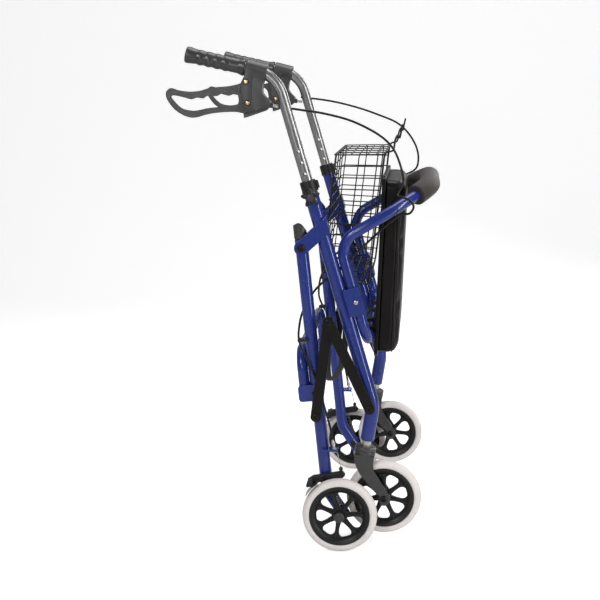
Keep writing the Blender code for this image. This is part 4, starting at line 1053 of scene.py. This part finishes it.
def caster(side, sign):
    """The swivel fork with its crown and stem, the axle bolt and the front wheel."""
    y = sign * FRAME_Y
    body = "caster_" + side

    def at_stem(down, front):
        return STEM_END - STEM_UP * down * MM + STEM_FRONT * front * MM

    front = [(30, 20), (44, 20.5), (58, 25), (74, 38), (92, 54), (102, 63)]
    back = [(107, 44), (98, 31), (84, 14), (68, -3), (54, -13), (42, -18.5), (30, -20)]
    front_edge, back_edge = (spline([at_stem(*pair) for pair in edge], 5) for edge in (front, back))
    outline = front_edge + arc(FRONT_HUB, 14 * MM, 38, -118, 18) + back_edge
    fork = slab("caster_fork_%s_shell" % side, outline, y, 21 * MM, CHARCOAL)
    carve(fork, rounded_outline(box(at_stem, 37, 142, -44, 92), [8 * MM, 8 * MM, 0, 0]), y, 15.6 * MM)
    bake(fork)
    bevel(fork, 2.6 * MM, 4, 55)
    place(bake(fork, 50), body, "caster_fork_" + side)
    crown = [(0, -43), (15, -43), (19.5, -40), (21.3, -34), (21.5, -24), (21.0, -22.6), (20.2, -22),
             (20.2, -21), (21.4, -20.4), (21.6, -16.5), (20.8, -14.6), (19, -13.8), (12, -13.4), (0, -13.4)]
    place(lathe("caster_crown_" + side, crown, at_y(STEM_END, y), STEM_UP, CHARCOAL), body)
    stem = [bar("stem", flat(y, at_stem(top, 0), at_stem(low, 0)), radius * MM, ZINC)
            for top, low, radius in ((-30, 15, 6), (1.2, 14, 9.5))]
    place(merge("caster_stem_and_collar_" + side, stem), body)
    bolt = [bolt_head("end", at_y(FRONT_HUB, y + end * 21.2 * MM), ACROSS * end, 7.0, 4.4) for end in (1, -1)]
    bolt.append(pin("pin", FRONT_HUB, y - 23 * MM, y + 23 * MM, 4 * MM))
    place(merge("front_axle_bolt_" + side, bolt), body, "front_axle_" + side)
    wheel("front", side, at_y(FRONT_HUB, y), 14.4 * MM, 90 if sign < 0 else 98)


# ---- brakes ----
def brake_arm(side, sign):
    body = "brake_arm_" + side
    edge = [(-66, 131), (-60, 127.5), (-53, 135), (-31, 142), (6, 149), (10.5, 155.5), (5, 162.6), (-31, 156),
            (-56, 151.5), (-63.5, 146)]
    radii = [r * MM for r in (3, 3, 8, 30, 6, 3, 6, 30, 10, 6)]
    arm = plate("arm", rounded_outline(spots(edge), radii, 5), sign * 260.9 * MM, sign * 273 * MM, BLACK)
    bevel(arm, 2.6 * MM, 4, 50)
    web = rounded_outline(spots([(-69, 134), (-55, 137.5), (-54, 149), (-66, 145)]), 3 * MM)
    pad = plate("web", web, sign * 262 * MM, sign * 298 * MM, BLACK, 1.4 * MM)
    place(merge("brake_arm_%s_moulding" % side, [bake(arm, 50), bake(pad, 50)]), body, body)
    shoe = arc(REAR_HUB, 79.0 * MM, 124, 149) + arc(REAR_HUB, 80.8 * MM, 149, 124)
    place(bake(plate("brake_shoe_" + side, shoe, sign * 270 * MM, sign * 299 * MM, ZINC, 0.5 * MM, 2)), body)
    nipple = [(0, -4), (3.2, -4), (4, -3), (4, 3), (3.2, 4), (0, 4)]
    place(lathe("brake_cable_nipple_" + side, nipple, spot(1, 166.5, sign * 266 * MM), ACROSS, BLACK), body)
    bolt = bolt_head("brake_pivot_bolt_" + side, at_y(BRAKE_PIVOT, sign * 273 * MM), ACROSS * sign, 5.5, 2.6)
    place(bolt, "rear_frame")


def brake_pull(side, sign):
    """The bare inner wire, its adjuster on the leg's tab, and the spring that lifts the shoe."""
    y = sign * 263.5 * MM
    wire = spots([(1, 166.5), (-5.6, 196), (-14, 214)])
    place(bar("brake_inner_wire_" + side, flat(y, *wire), 0.8 * MM, ZINC, 10), "rear_frame")
    low, high = spot(-11.5, 200, y), spot(-16.5, 226, y)
    section = [(0, 0), (2.6, 0), (2.6, 5), (4.6, 5.4), (4.6, 9.6), (2.5, 10), (2.5, 14), (3.8, 14.4),
               (3.8, 20), (3, 24), (2.6, 27), (0, 27)]
    place(lathe("brake_adjuster_" + side, section, low, high - low, ZINC, 24), "rear_frame")
    turns, per_turn = 14, 12
    top, bottom = spot(-16, 139, sign * 270 * MM), spot(2, 88, sign * 262 * MM)
    spine = bottom - top
    first = spine.cross(ACROSS).normalized() * 3 * MM
    second = spine.normalized().cross(first)
    path = []
    for step in range(turns * per_turn + 1):
        angle = 2 * pi * step / per_turn
        path.append(top + spine * (step / (turns * per_turn)) + first * cos(angle) + second * sin(angle))
    place(bar("brake_return_spring_" + side, path, 0.6 * MM, ZINC, 6, 0), "rear_frame")


# ---- cables ----
def cable_route(side, sign):
    """The sheath from the brake housing, over the backrest tube and down behind the main tube."""
    y = sign * FRAME_Y
    if side == "right":
        arch = [(-129, 893.6), (-84, 887), (-40, 880.5), (10, 868), (50, 850.5), (82, 830), (102, 806),
                (115, 772), (119, 745)]
    else:
        arch = [(-129, 904), (-84, 899), (-40, 891.5), (10, 878.5), (55, 863), (95, 846), (122, 822),
                (141, 790), (146, 760), (138, 738)]
    loop = [(108, 722, -2), (119, 719, 17), (133, 713, 20), (140, 700, 14), (132, 686, 3), (114, 682, -10),
            (90, 663, -17), (62, 637, -20), (22, 599, -20)]
    inward = 11 * MM / (len(arch) - 1) ** 2
    route = [spot(x, z, y - sign * inward * k ** 2) for k, (x, z) in enumerate(arch)]
    return route + [spot(x, z, y + sign * across * MM) for x, z, across in loop]


def cables(side, sign):
    """The sheath in four runs, three of them placed on no body and the lowest on the rear frame, and its
    clip.
    """
    y = sign * FRAME_Y

    def run(*points):
        return [spot(x, z, y + sign * across * MM) for x, z, across in points]

    def sheath(part, path):
        return bar("brake_cable_%s_%s" % (side, part), path, 2.3 * MM, CABLE, 14, 0)

    def flex(part, path):
        piece = sheath(part, path)
        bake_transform(piece)

    before, seam, between, knee = run((62, 637, -20), (22, 599, -20), (0, 578, -20), (-26, 556, -20))
    flex("upper", spline(cable_route(side, sign), 10))
    flex("middle", spline([before, seam, between, knee], 12)[12:])
    past_pivot = run((-58, 524, -19), (-79, 486, -8), (-86, 452, 3), (-84, 425, 12))
    turn = spline([between, knee] + past_pivot, 12)[12:]
    flex("crossing", turn[:37])
    down_leg = run((-84, 425, 12), (-68, 391, 15.5), (-51, 352, 15.5), (-35, 300, 15.5), (-22, 254, 15.5),
                   (-16.5, 225, 15.5))
    lower = sheath("lower", spline([turn[24], turn[36]] + down_leg, 8)[8:])
    place(lower, "rear_frame", "brake_cable_" + side)
    anchor = leg_at(432 if side == "right" else 411)
    outline = box(lambda back, up: anchor + LEG_BACK * back * MM - LEG_DOWN * up * MM, 6, 27, -3, 3)
    outline = rounded_outline(outline, 1.6 * MM, 3)
    clip = plate("cable_clip_" + side, outline, y - sign * 3 * MM, y + sign * 16 * MM, BLACK, 1 * MM)
    place(bake(clip), "rear_frame")


# ---- assembly ----
for side, sign in SIDES:
    for build in (main_frame, height_collar, height_knob, backrest_bracket, rear_leg, leg_plug, pivots,
                  brace_links, handle_tube, grip, housing, brake_lever, rear_wheel, caster, brake_arm,
                  brake_pull, cables):
        build(side, sign)
for build in (backrest, front_crossbar, rear_crossbar, fold_strap, seat, basket):
    build()


# ---- stage, light and camera ----
def stage():
    """A seamless paper sweep.  Only the camera sees its glow, which keeps the paper pale."""
    bm = bmesh.new()
    reach, back, height, bend = 8.0, 4.0, 7.0, 1.5
    turns = [pi / 2 * step / 12 for step in range(1, 13)]
    profile = [(-reach, 0.0), (back - bend, 0.0)]
    profile += [(back - bend + bend * sin(turn), bend - bend * cos(turn)) for turn in turns]
    profile.append((back, height))
    rows = [[bm.verts.new((x, y, z)) for y, z in profile] for x in (-9.0, 9.0)]
    for k in range(len(profile) - 1):
        bm.faces.new((rows[0][k], rows[1][k], rows[1][k + 1], rows[0][k + 1]))
    paper = bpy.data.materials.new("studio_paper")
    paper.use_nodes = True
    tree = paper.node_tree
    seen = add_node(tree, "LightPath", {}, "Is Camera Ray")
    glow = add_node(tree, "Math", {0: seen, 1: 0.55}, operation="MULTIPLY")
    feed(tree, tree.nodes["Principled BSDF"],
         {"Base Color": (0.80, 0.80, 0.80, 1), "Roughness": 0.95, "Specular IOR Level": 0.05,
          "Emission Color": (1, 1, 1, 1), "Emission Strength": glow})
    to_object("studio_sweep", bm, paper)


def softbox(name, place_at, width, height, power):
    """A light panel that faces the middle of the walker."""
    light = bpy.data.lights.new(name, "AREA")
    light.shape = "RECTANGLE"
    light.size, light.size_y = width, height
    light.energy = power
    obj = add_to_scene(name, light)
    obj.location = place_at
    obj.rotation_euler = (Vector((0.0, 0.0, 0.5)) - obj.location).to_track_quat("-Z", "Y").to_euler()


def lights():
    world = bpy.data.worlds.new("studio")
    bpy.context.scene.world = world
    world.use_nodes = True
    background = world.node_tree.nodes["Background"]
    background.inputs["Color"].default_value = (1, 1, 1, 1)
    background.inputs["Strength"].default_value = 0.20
    softbox("key", (-1.7, -2.6, 2.3), 0.6, 0.6, 34)
    softbox("front_fill", (-0.65, -3.2, 1.2), 0.4, 0.4, 11)
    softbox("strip_front", (2.2, -1.3, 1.3), 0.28, 2.4, 38)
    softbox("top", (0.2, 0.3, 3.0), 1.6, 1.6, 34)
    softbox("back_rim", (1.4, 2.2, 1.6), 0.6, 1.6, 22)


def camera():
    """Nearly level with the handles, on the walker's right side."""
    lens = bpy.data.cameras.new("camera")
    lens.sensor_width = 36.0
    lens.lens = 78.19
    lens.clip_end = 60.0
    obj = add_to_scene("camera", lens)
    obj.location = spot(157.2, 950.0, -2.8116)
    pitch, yaw = radians(9.704), radians(5.380)
    obj.rotation_euler = (pi / 2 - pitch, 0.0, yaw)
    bpy.context.scene.camera = obj


stage()
lights()
camera()
bpy.context.scene.view_settings.view_transform = "Standard"
